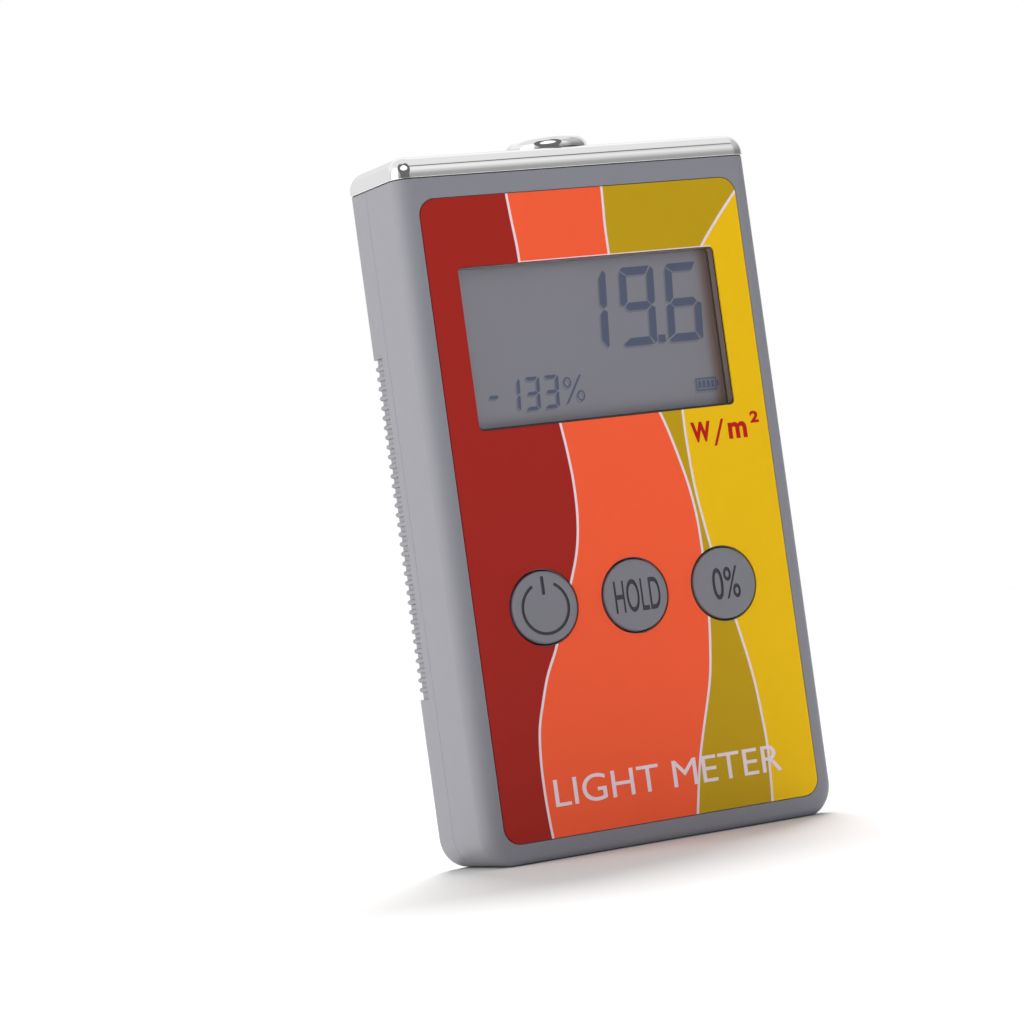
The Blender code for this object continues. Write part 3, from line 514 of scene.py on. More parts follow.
MATERIALS = {
    "grey_plastic": surface("moulded_grey", GREY, 0.46, 0.22, 0.006, 0.02),
    "button_grey": surface("button_grey_plastic", (0.19, 0.19, 0.217), 0.5, 0.2, 0.005, 0.03),
    "legend": surface("legend_paint", (0.040, 0.038, 0.043), 0.6, 0.2, 0.004, 0.05),
    "chrome": chrome_material(),
    "clear_acrylic": lens_material("clear_lens", 1.45),
    "lens_inner": lens_material("clear_lens_inner", 1.02),
    "opal": surface("opal_diffuser", (0.85, 0.85, 0.82), 0.35, 0.3, 0.004, 0.02, scatter=0.3),
    "lcd": lcd_material(),
    "segment": surface("lcd_segment", (0.20, 0.225, 0.35), 0.4, 0.15, 0.002, 0.02, specular=0.2),
    "segment_shadow": surface("lcd_shadow", (0.38, 0.375, 0.455), 0.4, 0.15, 0.0, 0.02, specular=0.2),
    # Brown of painted shade and painted reflection of the yellow print, on the foam round the window.
    "foam": surface("display_foam_painted_shade", (0.42, 0.29, 0.23), 0.9, 0.25, 0.02, 0.06),
    # The window's side walls: a pale brown of painted reflection of the yellow print, lightened against
    # their shade.
    "window_wall_painted_bounce": surface("window_wall_painted_bounce", (0.85, 0.61, 0.50), 0.6, 0.2, 0.004, 0.05),
    "label_plate": surface("label_foil", (0.62, 0.62, 0.63), 0.34, 0.3, 0.003, 0.04, metallic=0.6),
    "label_ink": surface("label_ink", (0.05, 0.05, 0.055), 0.45, 0.3, 0.003, 0.05),
    "unit_red": surface("unit_ink", (0.48, 0.010, 0.008), 0.4, 0.3, 0.0, 0.02, specular=0.1),
    "black_plastic": surface("black_plastic", (0.022, 0.022, 0.024), 0.42, 0.2, 0.006, 0.1),
    "white_plastic": surface("natural_white_plastic", (0.72, 0.72, 0.69), 0.42, 0.25, 0.006, 0.03),
    "zebra_rubber": surface("zebra_rubber", (0.28, 0.26, 0.25), 0.7, 0.2, 0.01, 0.1),
    "steel": surface("zinc_steel", (0.56, 0.56, 0.57), 0.32, 0.3, 0.004, 0.06, metallic=1.0),
    "nickel": surface("nickel_plate", (0.70, 0.68, 0.63), 0.24, 0.4, 0.004, 0.06, metallic=1.0),
    "cell_sleeve": surface("cell_sleeve_blue", (0.02, 0.07, 0.2), 0.28, 0.5, 0.004, 0.05, coat=0.4),
    "band": surface("cell_sleeve_silver", (0.6, 0.61, 0.63), 0.3, 0.5, 0.004, 0.05, metallic=0.7),
    "red_wire": surface("red_insulation", (0.48, 0.02, 0.02), 0.42, 0.2, 0.005, 0.06),
    "black_wire": surface("black_insulation", (0.02, 0.02, 0.02), 0.42, 0.2, 0.005, 0.06),
    "board_green": board_material(),
}
INKS = [ink(name) for name in INK_COLOURS]


def finish_kept_nodes():
    """A node that stays as it is takes the material named like its record slot."""
    for entry in frame["record"]["subparts"]:
        material = MATERIALS.get(entry["material_slot"], MATERIALS["grey_plastic"])
        for slot in frame["nodes"][entry["node"]].material_slots:
            slot.material = material


# ---- Case ----


def round_inset(distance, radius):
    """How far a rounded edge draws the surface in, at this distance from the face it starts at."""
    if distance >= radius:
        return 0.0
    return radius - math.sqrt(radius**2 - (radius - distance) ** 2)


def body_outline(y, wall=0.0, top=CASE_TOP, steps=CORNER_STEPS):
    """The case's (x, z) outline at depth y, drawn in by a wall thickness."""
    from_front = y - FRONT
    from_back = BACK - y
    side = wall + max(round_inset(from_front, FRONT_EDGE_R), round_inset(from_back, REAR_EDGE_R))
    bottom = wall + round_inset(min(from_front, from_back), BOTTOM_EDGE_R)
    centre_x = HALF_W - BOTTOM_CORNER_R
    size = (BOTTOM_CORNER_R - side, BOTTOM_CORNER_R - bottom)
    left = arc((-centre_x, BOTTOM_CORNER_R), *size, 180, 270, steps)
    right = arc((centre_x, BOTTOM_CORNER_R), *size, 270, 360, steps)
    return left + right + [(HALF_W - side, top), (side - HALF_W, top)]


def edge_levels(face_y, radius, inward):
    """Depths at equal angles round an edge, from the face inward."""
    turns = [math.pi / 2 * step / EDGE_STEPS for step in range(EDGE_STEPS + 1)]
    return [face_y + inward * radius * (1 - math.cos(turn)) for turn in turns]


def shell_body(name, levels):
    return stack(name, "Y", [(y, body_outline(y)) for y in levels], MATERIALS["grey_plastic"])


def hollow(levels):
    return stack("hollow", "Y", [(y, body_outline(y, WALL, CAVITY_TOP, 6)) for y in levels])


def at_screws(radius, start, end, steps=24):
    """A cylinder at each case screw."""
    places = [(x, z) for z in CASE_SCREW_Z for x in (-CASE_SCREW_X, CASE_SCREW_X)]
    return blocks([circle(place, radius, steps) for place in places], start, end)


def sensor_hole():
    return blocks([circle((0, 0), SENSOR_HOLE_R, 48)], CAVITY_TOP - PAST, CASE_TOP + PAST, "Z")


def window_outline(inset=0.0):
    radius = max(WINDOW_CORNER_R - inset, 0.3)
    centre = LENS_MIDDLE.xz
    return rounded_rect(centre, WINDOW_HALF_W - inset, WINDOW_HALF_H - inset, radius, 6)


def film_outline(gap=0.0, radius=FILM_CORNER_R):
    return rounded_rect((0, FILM_MIDDLE.z), FILM_HIGH.x + gap, FILM_HALF_H + gap, radius)


def button_places():
    return [middle.xz for _, _, middle in BUTTONS.values()]


def case_front():
    """The front half, with the film's recess, the window and the button holes."""
    shell = shell_body("case_front", edge_levels(FRONT, FRONT_EDGE_R, 1) + [PARTING - SEAM / 2])
    cut(shell, hollow([FRONT_WALL_Y, FRONT + FRONT_EDGE_R, PARTING + PAST]))
    merge(shell, at_screws(SCREW_BOSS_R, FRONT_WALL_Y - 0.5, PARTING - 0.3))
    cut(shell, at_screws(SCREW_HOLE_R, FRONT_WALL_Y + 1, PARTING + PAST))
    recess = film_outline(FILM_GAP, FILM_CORNER_R + 0.1)
    cut(shell, blocks([recess], FRONT - PAST, FRONT + FILM_RECESS))
    openings = [circle(place, BUTTON_HOLE_R) for place in button_places()] + [window_outline()]
    cut(shell, blocks(openings, FRONT - PAST, FRONT_WALL_Y + PAST))
    cut(shell, sensor_hole())
    # Painted reflection: the window's side walls take the pale brown, lightened against their shade.
    shell.data.materials.append(MATERIALS["window_wall_painted_bounce"])
    for polygon in shell.data.polygons:
        place = polygon.center / MM - LENS_MIDDLE
        in_window = abs(place.x) < WINDOW_HALF_W + 0.01 and abs(place.z) < WINDOW_HALF_H + 0.01
        if in_window and abs(polygon.normal.y) < 0.5:
            polygon.material_index = 1
    return piece(smooth(shell), "grey_plastic", "front_shell")


def grip_corner(height, start=0, steps=16):
    """Points round a rear corner at this height over the floor of the grip recess."""
    radius = REAR_EDGE_R - GRIP_DEPTH + height
    return arc((HALF_W - REAR_EDGE_R, BACK - REAR_EDGE_R), radius, radius, start, 90 - start, steps)


def grip_recesses():
    """The space cut from both sides for the ribs, with its floor following the rear corners."""
    high = RIB_BOTTOM + RIB_PITCH * (RIB_COUNT + 1)
    floor_line = grip_corner(0.0)
    outer_x = HALF_W + PAST
    outline = [(floor_line[0][0], GRIP_Y)] + floor_line
    outline += [(GRIP_END_X, floor_line[-1][1]), (GRIP_END_X, BACK + PAST), (outer_x, BACK + PAST)]
    outline.append((outer_x, GRIP_Y))
    mirrored = [(-x, y) for x, y in reversed(outline)]
    return blocks([outline, mirrored], RIB_BOTTOM, high, "Z")


def grip_ribs():
    """Half-round ribs along both grip recesses, each bent round the rear corner."""
    builder = bmesh.new()
    profile = [(-0.3, -RIB_HALF_W)] + arc((0, 0), RIB_HEIGHT, RIB_HALF_W, -85, 85, 12)
    profile.append((-0.3, RIB_HALF_W))
    routes = []
    for height, dz in profile:
        crown = REAR_EDGE_R - GRIP_DEPTH + height
        start = (HALF_W - REAR_EDGE_R + crown, GRIP_Y - 0.3)
        end = (GRIP_END_X - 0.3, BACK - REAR_EDGE_R + crown)
        route = [start] + grip_corner(height, 3, 14) + [end]
        routes.append([(x, y, dz) for x, y in route])
    for side in (-1, 1):
        for index in range(RIB_COUNT):
            z = RIB_BOTTOM + RIB_PITCH * (index + 1)
            add_loft(builder, [[(side * x, y, z + dz) for x, y, dz in section] for section in zip(*routes)])
    return made("grip_ribs", builder)


def door_seat():
    """The space of the battery door: its seat, the notch for its tongue, a finger scoop, pin sockets."""
    seat = box_outline(DOOR_HALF_W + DOOR_GAP, DOOR_LOW.z - DOOR_GAP, DOOR_TOP + DOOR_GAP)
    tool = blocks([seat], REAR_WALL_Y, BACK + PAST)
    notch = box_outline(TONGUE_HALF_W + DOOR_GAP, DOOR_TOP, DOOR_HIGH.z + DOOR_GAP)
    merge(tool, blocks([notch], REAR_WALL_Y + 0.2, BACK + PAST))
    scoop = rounded_rect((0, DOOR_HIGH.z + 2), 7.0, 4.0, 3.5)
    merge(tool, blocks([scoop], BACK - 0.9, BACK + PAST))
    reach = DOOR_HALF_W + PIN_LENGTH + 0.4
    merge(tool, blocks([circle(HINGE, HINGE_SOCKET_R, 16)], -reach, reach, "X"))
    return tool


def case_rear():
    """The rear half, with the battery bay, the door's seat, the grip ribs and the screw holes."""
    levels = [PARTING + SEAM / 2] + edge_levels(BACK, REAR_EDGE_R, -1)[::-1]
    shell = shell_body("case_rear", levels)
    cut(shell, hollow([PARTING - PAST, BACK - REAR_EDGE_R, REAR_WALL_Y]))
    bay = box_outline(BAY_HALF_W + BAY_WALL, BAY_BOTTOM - BAY_WALL, BAY_TOP + BAY_WALL)
    merge(shell, blocks([bay], BAY_FLOOR_Y - 0.9, REAR_WALL_Y + 0.2))
    merge(shell, at_screws(SCREW_BOSS_R, PARTING + 0.3, REAR_WALL_Y + 0.2))
    space = box_outline(BAY_HALF_W, BAY_BOTTOM, BAY_TOP)
    cut(shell, blocks([space], BAY_FLOOR_Y, BACK + PAST))
    cut(shell, door_seat())
    cut(shell, at_screws(SCREW_HEAD_HOLE_R, PARTING + SCREW_SEAT, BACK + PAST, 36))
    cut(shell, at_screws(SCREW_HOLE_R, PARTING - PAST, BACK))
    holes = [circle(place, LEAD_HOLE_R, 24) for place in LEAD_HOLES]
    cut(shell, blocks(holes, BAY_FLOOR_Y - 2, BAY_FLOOR_Y + PAST))
    half_w, half_h = LABEL_HIGH.x + LABEL_GAP, LABEL_HALF_H + LABEL_GAP
    recess = rounded_rect((0, LABEL_MIDDLE.z), half_w, half_h, 1.5)
    cut(shell, blocks([recess], BACK - LABEL_RECESS, BACK + PAST))
    cut(shell, sensor_hole())
    cut(shell, grip_recesses())
    merge(shell, grip_ribs())
    return piece(smooth(shell), "grey_plastic", "rear_shell")


def door():
    """The battery door, with finger ridges and an arrow let into it."""
    half = DOOR_THICK / 2
    round_edge = arc(HINGE, half, half, 180, 360, 16)
    side = round_edge + [(DOOR_Y + half, DOOR_TOP), (DOOR_Y - half, DOOR_TOP)]
    plate = prisms("battery_cover", "X", [side], -DOOR_HALF_W, DOOR_HALF_W, MATERIALS["grey_plastic"])
    reach = DOOR_HALF_W + PIN_LENGTH
    merge(plate, blocks([circle(HINGE, HINGE_PIN_R, 16)], -reach, reach, "X"))
    tongue = box_outline(TONGUE_HALF_W, DOOR_TOP - 1, DOOR_HIGH.z)
    merge(plate, blocks([tongue], DOOR_Y - half + 0.3, DOOR_Y + half))
    grooves = [rounded_rect((0, z), 9.0, 0.45, 0.44, 6) for z in DOOR_RIDGE_Z]
    grooves.append([(-3.2, 49.0), (0, 45.4), (3.2, 49.0)])
    cut(plate, blocks(grooves, DOOR_Y + half - 0.35, BACK + PAST))
    return piece(smooth(plate), "grey_plastic", "battery_door", body="battery_door")


# ---- Cap and sensor ----


def cap_section(inset, steps=24):
    """The cap's (x, y) outline, drawn in from its widest."""
    rear = max(REAR_EDGE_R + CAP_PROUD - inset, 0.4)
    front = max(FRONT_EDGE_R + CAP_PROUD - inset, 0.4)
    return rounded_rect((0, 0), CAP_HIGH.x - inset, CAP_HIGH.y - inset, (rear, rear, front, front), steps)


def chrome_cap():
    """A shallow lid with a full round along its top edge."""
    levels = [(CAP_LOW.z, cap_section(CAP_BEVEL)), (CAP_LOW.z + CAP_BEVEL, cap_section(0.0))]
    steps = 24
    for step in range(steps + 1):
        turn = math.pi / 2 * step / steps
        inset = CAP_EDGE_R * (1 - math.cos(turn))
        levels.append((CAP_HIGH.z - CAP_EDGE_R * (1 - math.sin(turn)), cap_section(inset)))
    cap = stack("chrome_cap", "Z", levels, MATERIALS["chrome"])
    inner_top = CAP_HIGH.z - CAP_WALL
    space = [(CAP_LOW.z - PAST, CAP_WALL), (CAP_LOW.z + 0.8, CAP_WALL), (inner_top, CAP_WALL + 1.6)]
    cut(cap, stack("cap_space", "Z", [(z, cap_section(inset, 4)) for z, inset in space]))
    cut(cap, blocks([circle((0, 0), COLLAR_NECK_R + 0.25)], CAP_LOW.z, CAP_HIGH.z + PAST, "Z"))
    piece(smooth(cap, 40.0), "chrome", "top_cap")
    outline = cap_section(GASKET_INSET, 12)
    gasket = prisms("cap_gasket", "Z", [outline], CASE_TOP, CAP_LOW.z, MATERIALS["black_plastic"])
    cut(gasket, blocks([cap_section(1.5, 6)], CASE_TOP - PAST, CAP_LOW.z + PAST, "Z"))
    piece(smooth(gasket), "black_plastic")


def sensor_ring():
    """The domed chrome ring round the sensor, and the opal disc in it."""
    top = COLLAR_HIGH.z
    seat = CAP_HIGH.z + 0.15
    dome = (COLLAR_R - COLLAR_DOME_R, seat + 0.25)
    shoulder = arc(dome, COLLAR_DOME_R, COLLAR_DOME_R, 0, 58, 20)
    shoulder += arc((COLLAR_RIM_R, top - 0.12), 0.12, 0.12, 50, 90, 4)
    lip = arc((APERTURE_R + 0.6, top - 0.6), 0.6, 0.6, 90, 180, 8)
    profile = [(COLLAR_BORE_R, COLLAR_LOW.z), (COLLAR_NECK_R, COLLAR_LOW.z), (COLLAR_NECK_R, seat)]
    profile += [(COLLAR_R, seat)] + shoulder + lip
    profile += [(APERTURE_R, top - 1.0), (COLLAR_BORE_R, top - 1.0)]
    ring = turned("sensor_ring", "Z", (0, 0), profile, MATERIALS["chrome"], steps=120)
    piece(smooth(ring, 40.0), "chrome", "sensor_collar")
    _, high, _ = node_box("sensor_diffuser")
    dome = arc((0, high.z - 0.35), 3.3, 0.35, 90, 0, 10)
    rim = [(high.x, high.z - 0.4), (high.x, high.z - 1.2), (0, high.z - 1.2)]
    disc = turned("opal_disc", "Z", (0, 0), [(0, high.z)] + dome[1:] + rim, MATERIALS["opal"])
    piece(smooth(disc), "opal", "sensor_diffuser")


# ---- Printed film ----

# The white lines between the colour fields, as (x, z) points from top to bottom.
LINE_RED_ORANGE = (
    ((-14.4, 115.0), (-14.0, 108.9), (-13.6, 104.0), (-13.4, 98.0), (-12.3, 88.0), (-10.8, 79.0))
    + ((-9.9, 72.7), (-9.3, 67.5), (-9.0, 62.6), (-9.2, 56.8), (-10.2, 51.4), (-12.2, 46.0))
    + ((-14.6, 40.3), (-16.8, 35.2), (-19.0, 31.0), (-20.6, 26.6), (-21.9, 22.2), (-22.5, 17.0))
    + ((-22.6, 11.5), (-22.4, 6.5), (-22.1, 2.5))
)
LINE_ORANGE_OLIVE = (
    ((4.45, 115.0), (4.2, 110.1), (4.0, 105.7), (4.2, 98.0), (5.3, 88.0), (7.4, 79.5), (10.3, 71.9))
    + ((12.0, 66.2), (13.45, 60.1), (14.2, 54.5), (14.35, 48.3), (14.2, 42.0), (13.8, 36.5))
    + ((13.2, 31.5), (12.4, 26.8), (11.1, 22.3), (9.6, 17.7), (8.2, 13.0), (7.2, 8.6), (6.0, 2.5))
)
LINE_OLIVE_YELLOW = (
    ((35.5, 115.5), (30.9, 110.8), (26.7, 106.4), (22.6, 101.6), (19.0, 96.0), (16.2, 88.0))
    + ((14.6, 79.0), (14.25, 71.5), (14.3, 66.0), (14.6, 60.0), (15.3, 54.4), (16.2, 48.9))
    + ((17.6, 42.0), (19.1, 35.7), (20.3, 29.9), (21.1, 25.0), (21.6, 19.5), (21.9, 13.5))
    + ((21.7, 8.0), (21.3, 2.5))
)
LINE_WIDTH = 0.46


def smooth_route(points, steps=6):
    """Points of a smooth curve through a route."""
    padded = [points[0]] + list(points) + [points[-1]]
    route = []
    for before, start, end, after in zip(padded, padded[1:], padded[2:], padded[3:]):
        for step in range(steps):
            t = step / steps
            before_v, start_v, end_v, after_v = map(Vector, (before, start, end, after))
            bend = 2 * before_v - 5 * start_v + 4 * end_v - after_v
            twist = 3 * start_v - before_v - 3 * end_v + after_v
            route.append(0.5 * (2 * start_v + (end_v - before_v) * t + bend * t**2 + twist * t**3))
    route.append(Vector(points[-1]))
    return route


def offset_route(route, distance):
    """The route moved sideways."""
    moved = []
    for before, place, after in zip([route[0]] + route, route, route[1:] + [route[-1]]):
        along = (after - before).normalized()
        moved.append(place + Vector((along.y, -along.x)) * distance)
    return moved


def crossing(route, z):
    """The x at which a route that runs downwards passes this height."""
    for upper, lower in zip(route, route[1:]):
        if lower.y <= z <= upper.y:
            share = (upper.y - z) / max(upper.y - lower.y, 1e-9)
            return upper.x + (lower.x - upper.x) * share
    return route[-1].x


def field_at(edges, x, z):
    """The ink number at a point: the four colour fields from left to right, or the white of a line."""
    for number, (left, right) in enumerate(edges):
        if x < crossing(left, z):
            return number
        if x < crossing(right, z):
            return len(INK_COLOURS) - 1
    return len(edges)


def film_layout(outlines, edges):
    """Triangles of the film's face, cut along its outlines and along both edges of each line."""
    points = []
    segments = []
    for outline in outlines:
        start = len(points)
        points += [Vector(point) for point in outline]
        count = len(outline)
        segments += [(start + index, start + (index + 1) % count) for index in range(count)]
    for route in [route for pair in edges for route in pair]:
        start = len(points)
        points += route
        segments += [(start + index, start + index + 1) for index in range(len(route) - 1)]
    corners, _, faces, _, _, _ = delaunay_2d_cdt(points, segments, [], 0, 1e-5)
    return corners, faces


def in_rounded(x, z, middle, half_w, half_h, radius):
    """True inside a rectangle with round corners."""
    past_x = max(abs(x - middle.x) - half_w + radius, 0.0)
    past_z = max(abs(z - middle.z) - half_h + radius, 0.0)
    return math.hypot(past_x, past_z) < radius


def in_film(x, z):
    """True on the film's own material."""
    hole_r = FILM_HOLE_R * math.cos(math.pi / ROUND_STEPS)
    if any(math.hypot(x - u, z - v) < hole_r for u, v in button_places()):
        return False
    if in_rounded(x, z, LENS_MIDDLE, WINDOW_HALF_W, WINDOW_HALF_H, WINDOW_CORNER_R):
        return False
    return in_rounded(x, z, FILM_MIDDLE, FILM_HIGH.x, FILM_HALF_H, FILM_CORNER_R)


def printed_film():
    """The front film: one sheet whose face is cut into its colour fields and white lines."""
    outlines = [film_outline()]
    outlines += [circle(place, FILM_HOLE_R) for place in button_places()] + [window_outline()]
    routes = [smooth_route(line) for line in (LINE_RED_ORANGE, LINE_ORANGE_OLIVE, LINE_OLIVE_YELLOW)]
    edges = [[offset_route(route, side * LINE_WIDTH / 2) for side in (-1, 1)] for route in routes]
    edges = [sorted(pair, key=lambda route: crossing(route, 20.0)) for pair in edges]
    corners, faces = film_layout(outlines, edges)
    builder = bmesh.new()
    front = [builder.verts.new((corner.x, FILM_LOW.y, corner.y)) for corner in corners]
    rear = [builder.verts.new((corner.x, FILM_HIGH.y, corner.y)) for corner in corners]
    for face in faces:
        middle = sum((corners[index] for index in face), Vector((0, 0))) / len(face)
        if not in_film(*middle):
            continue
        number = field_at(edges, *middle)
        builder.faces.new([front[index] for index in face]).material_index = number
        builder.faces.new([rear[index] for index in reversed(face)]).material_index = number
    near = FILM_LOW.y + 0.1
    rim = [edge for edge in builder.edges if edge.is_boundary and edge.verts[0].co.y < near]
    for edge in rim:
        first, second = (front.index(vert) for vert in edge.verts)
        number = edge.link_faces[0].material_index
        side = builder.faces.new((front[first], front[second], rear[second], rear[first]))
        side.material_index = number
    loose = [vert for vert in builder.verts if not vert.link_faces]
    bmesh.ops.delete(builder, geom=loose, context="VERTS")
    film = made("printed_film", builder, *INKS)
    return piece(film, "printed_film", "front_overlay")


# ---- Lettering ----


def lettering(name, text, low, high, face_y, thick, materials, faces_rear=False, weight=0.0):
    """Raised or tool lettering that fills the box from low to high, (x, z) corners, on a face."""
    curve = bpy.data.curves.new(name, "FONT")
    curve.body = text
    curve.extrude = 0.5
    curve.offset = weight
    curve.resolution_u = 6
    source = linked(name + "_text", curve)
    graph = bpy.context.evaluated_depsgraph_get()
    mesh = bpy.data.meshes.new_from_object(source.evaluated_get(graph))
    bpy.data.objects.remove(source, do_unlink=True)
    builder = bmesh.new()
    builder.from_mesh(mesh)
    bmesh.ops.remove_doubles(builder, verts=builder.verts, dist=1e-5)
    (left, right), (base, top) = ((min(row), max(row)) for row in zip(*(v.co.xy for v in builder.verts)))
    outward = 1 if faces_rear else -1
    start, end = (high[0], low[0]) if faces_rear else (low[0], high[0])
    for vert in builder.verts:
        u = (vert.co.x - left) / (right - left)
        v = (vert.co.y - base) / (top - base)
        depth = face_y + outward * (thick if vert.co.z > 0 else 0.0)
        vert.co = (start + (end - start) * u, depth, low[1] + (high[1] - low[1]) * v)
    return made(name, builder, *materials)


PRINT_THICK = 0.012
TITLE_BOX = ((-20.8, 8.7), (24.3, 13.4))


def film_lettering():
    """The generic title along the bottom and the unit below the window."""
    face, red = FILM_LOW.y, [MATERIALS["unit_red"]]
    title = lettering("title_lettering", "LIGHT METER", *TITLE_BOX, face, PRINT_THICK, [INKS[-1]])
    piece(title, "printed_film")
    slash = [(19.7, 66.5), (20.25, 66.5), (22.2, 71.1), (21.65, 71.1)]
    builder = bmesh.new()
    builder.from_mesh(prisms("unit_slash", "Y", [slash], face - PRINT_THICK, face, *red).data)
    bpy.data.objects.remove(bpy.data.objects["unit_slash"], do_unlink=True)
    places = {"W": (15.4, 67.4, 19.4, 71.0, 0.05), "m": (22.9, 67.4, 26.7, 70.3, 0.035)}
    places["2"] = (27.6, 69.8, 29.4, 71.9, 0.045)
    for letter, (left, base, right, top, weight) in places.items():
        part = lettering("unit", letter, (left, base), (right, top), face, PRINT_THICK, red, weight=weight)
        builder.from_mesh(part.data)
        bpy.data.objects.remove(part, do_unlink=True)
    bmesh.ops.scale(builder, vec=(1 / MM,) * 3, verts=builder.verts)
    piece(made("unit_lettering", builder, *red), "printed_film")


# ---- Display ----

# Which of the seven strokes each figure shows: top, upper right, lower right, bottom, lower left,
# upper left, middle.
FIGURE_STROKES = {"1": "bc", "3": "abcdg", "6": "acdefg", "9": "abcdfg", "-": "g"}
# Each figure with its left edge and width.
LARGE_FIGURES = (("1", -2.75, 4.4), ("9", 4.3, 6.9), ("6", 13.5, 7.0))
SMALL_FIGURES = (("-", -23.6, 2.8), ("1", -19.7, 2.6), ("3", -16.2, 2.9), ("3", -12.5, 2.9))
SLANT = 0.085
GLASS_STEP = 0.85
GLASS_LEDGE = 3.0
MARK_SHIFT = 0.35
LENS_GAP = 0.2
LENS_BEVEL = 0.12
FLANGE_THICK = 0.7
FOAM_REACH = 0.15


def figure(symbol, left, base, width, height, stroke):
    """Outlines of a slanted seven-stroke figure whose strokes meet in thin mitred gaps."""
    gap = 0.12 + stroke * 0.03
    half, tip = stroke / 2, stroke * 0.4
    middle, inner = height / 2, width - stroke
    near, far = stroke + gap, width - stroke - gap
    above, below = middle + gap / 2 + half * 0.6, middle - gap / 2 - half * 0.6
    strokes = {
        "a": [(gap, height - tip * 0.7), (gap + tip, height), (width - gap - tip * 1.2, height)],
        "b": [(width - tip, height - gap), (width, height - gap - tip), (width, above)],
        "c": [(width - half, middle - gap * 0.7), (width, below), (width, gap + tip * 0.5)],
        "d": [(gap, tip * 0.7), (near, stroke), (far, stroke), (width - gap - tip * 1.1, 0)],
        "e": [(half, middle - gap * 0.7), (0, below), (0, gap + tip), (stroke, near)],
        "f": [(0, height - gap - tip), (0, above), (half, middle + gap * 0.7)],
        "g": [(half + gap, middle), (near, middle + half), (far, middle + half)],
    }
    strokes["a"] += [(far, height - stroke), (near, height - stroke)]
    strokes["b"] += [(width - half, middle + gap * 0.7), (inner, middle + half + gap)]
    strokes["b"].append((inner, height - near))
    strokes["c"] += [(width - tip * 0.5, gap), (inner, near), (inner, middle - half - gap)]
    strokes["d"].append((gap + tip, 0))
    strokes["e"].append((stroke, middle - half - gap))
    strokes["f"] += [(stroke, middle + half + gap), (stroke, height - near)]
    strokes["g"] += [(width - half - gap, middle), (far, middle - half), (near, middle - half)]
    shapes = [strokes[name] for name in FIGURE_STROKES[symbol]]
    return [[(left + x + z * SLANT, base + z) for x, z in shape] for shape in shapes]


def seen_through(x, z):
    """Where a mark lies on the display so that it shows at (x, z) of the film's face in the main view."""
    eye = CAMERA_AT / MM
    face = Vector((x, FILM_LOW.y, z))
    share = (LCD_LOW.y - eye.y) / (face.y - eye.y)
    spot = eye + (face - eye) * share
    return spot.x, spot.z


def display_marks():
    """Outlines of everything that the display shows, as (x, z) at the film's face."""
    shapes = []
    for symbol, left, width in LARGE_FIGURES:
        shapes += figure(symbol, left, 85.35, width, 13.75, 1.42)
    shapes.append(box_outline(0.7, 85.5, 86.85, 12.25))
    for symbol, left, width in SMALL_FIGURES:
        shapes += figure(symbol, left, 76.1, width, 5.7, 0.62)
    shapes += percent_sign(-8.2, 76.6, 3.5, 4.75, 0.42)
    return shapes + battery_symbol(17.65, 76.3, 4.2, 2.3)


def band(outer, inner):
    """A ring between two outlines, as two outlines that share no face."""
    half = len(outer) // 2
    first = outer[: half + 1] + inner[half::-1]
    second = outer[half:] + outer[:1] + inner[:1] + inner[: half - 1 : -1]
    return [first, second]


def percent_sign(left, base, width, height, stroke):
    shapes = [[(left, base), (left + stroke, base), (left + width, base + height)]]
    shapes[0].append((left + width - stroke, base + height))
    for u, v in ((0.18, 0.76), (0.86, 0.24)):
        centre = (left + width * u, base + height * v)
        outer = arc(centre, 0.78, 0.95, 0, 345, 23)
        inner = arc(centre, 0.78 - stroke * 0.7, 0.95 - stroke * 0.7, 0, 345, 23)
        shapes += band(outer, inner)
    return shapes


def battery_symbol(left, base, width, height):
    line = 0.28
    right, top = left + width, base + height
    outer = [(left, base), (right, base), (right, top), (left, top)]
    inner = [(left + line, base + line), (right - line, base + line)]
    inner += [(right - line, top - line), (left + line, top - line)]
    shapes = band(outer, inner)
    shapes.append(box_outline(0.2, base + height * 0.3, base + height * 0.7, right + 0.25))
    for index in range(4):
        shapes.append(box_outline(0.3, base + 0.5, top - 0.5, left + 0.8 + index * 0.87))
    return shapes


def display():
    """The display's panes and the dark marks in them with their soft shadow."""
    y = LCD_LOW.y
    half_w, half_h = (LCD_HIGH.x - LCD_LOW.x) / 2, (LCD_HIGH.z - LCD_LOW.z) / 2
    front_pane = rounded_rect(LCD_MIDDLE.xz, half_w, half_h, 0.3, 4)
    rear_pane = [(u, max(v, LCD_LOW.z + GLASS_LEDGE)) for u, v in front_pane]
    levels = [(y, front_pane), (y + GLASS_STEP, front_pane)]
    levels += [(y + GLASS_STEP, rear_pane), (LCD_HIGH.y, rear_pane)]
    panel = stack("lcd_panel", "Y", levels, MATERIALS["lcd"])
    piece(smooth(panel), "lcd", "lcd_glass")
    marks = [[seen_through(x, z) for x, z in shape] for shape in display_marks()]
    shadows = [[(x - MARK_SHIFT, z - MARK_SHIFT) for x, z in shape] for shape in marks]
    shadow = prisms("lcd_mark_shadows", "Y", shadows, y - 0.012, y - 0.004, MATERIALS["segment_shadow"])
    piece(shadow, "lcd")
    piece(prisms("lcd_marks", "Y", marks, y - 0.03, y - 0.018, MATERIALS["segment"]), "lcd")


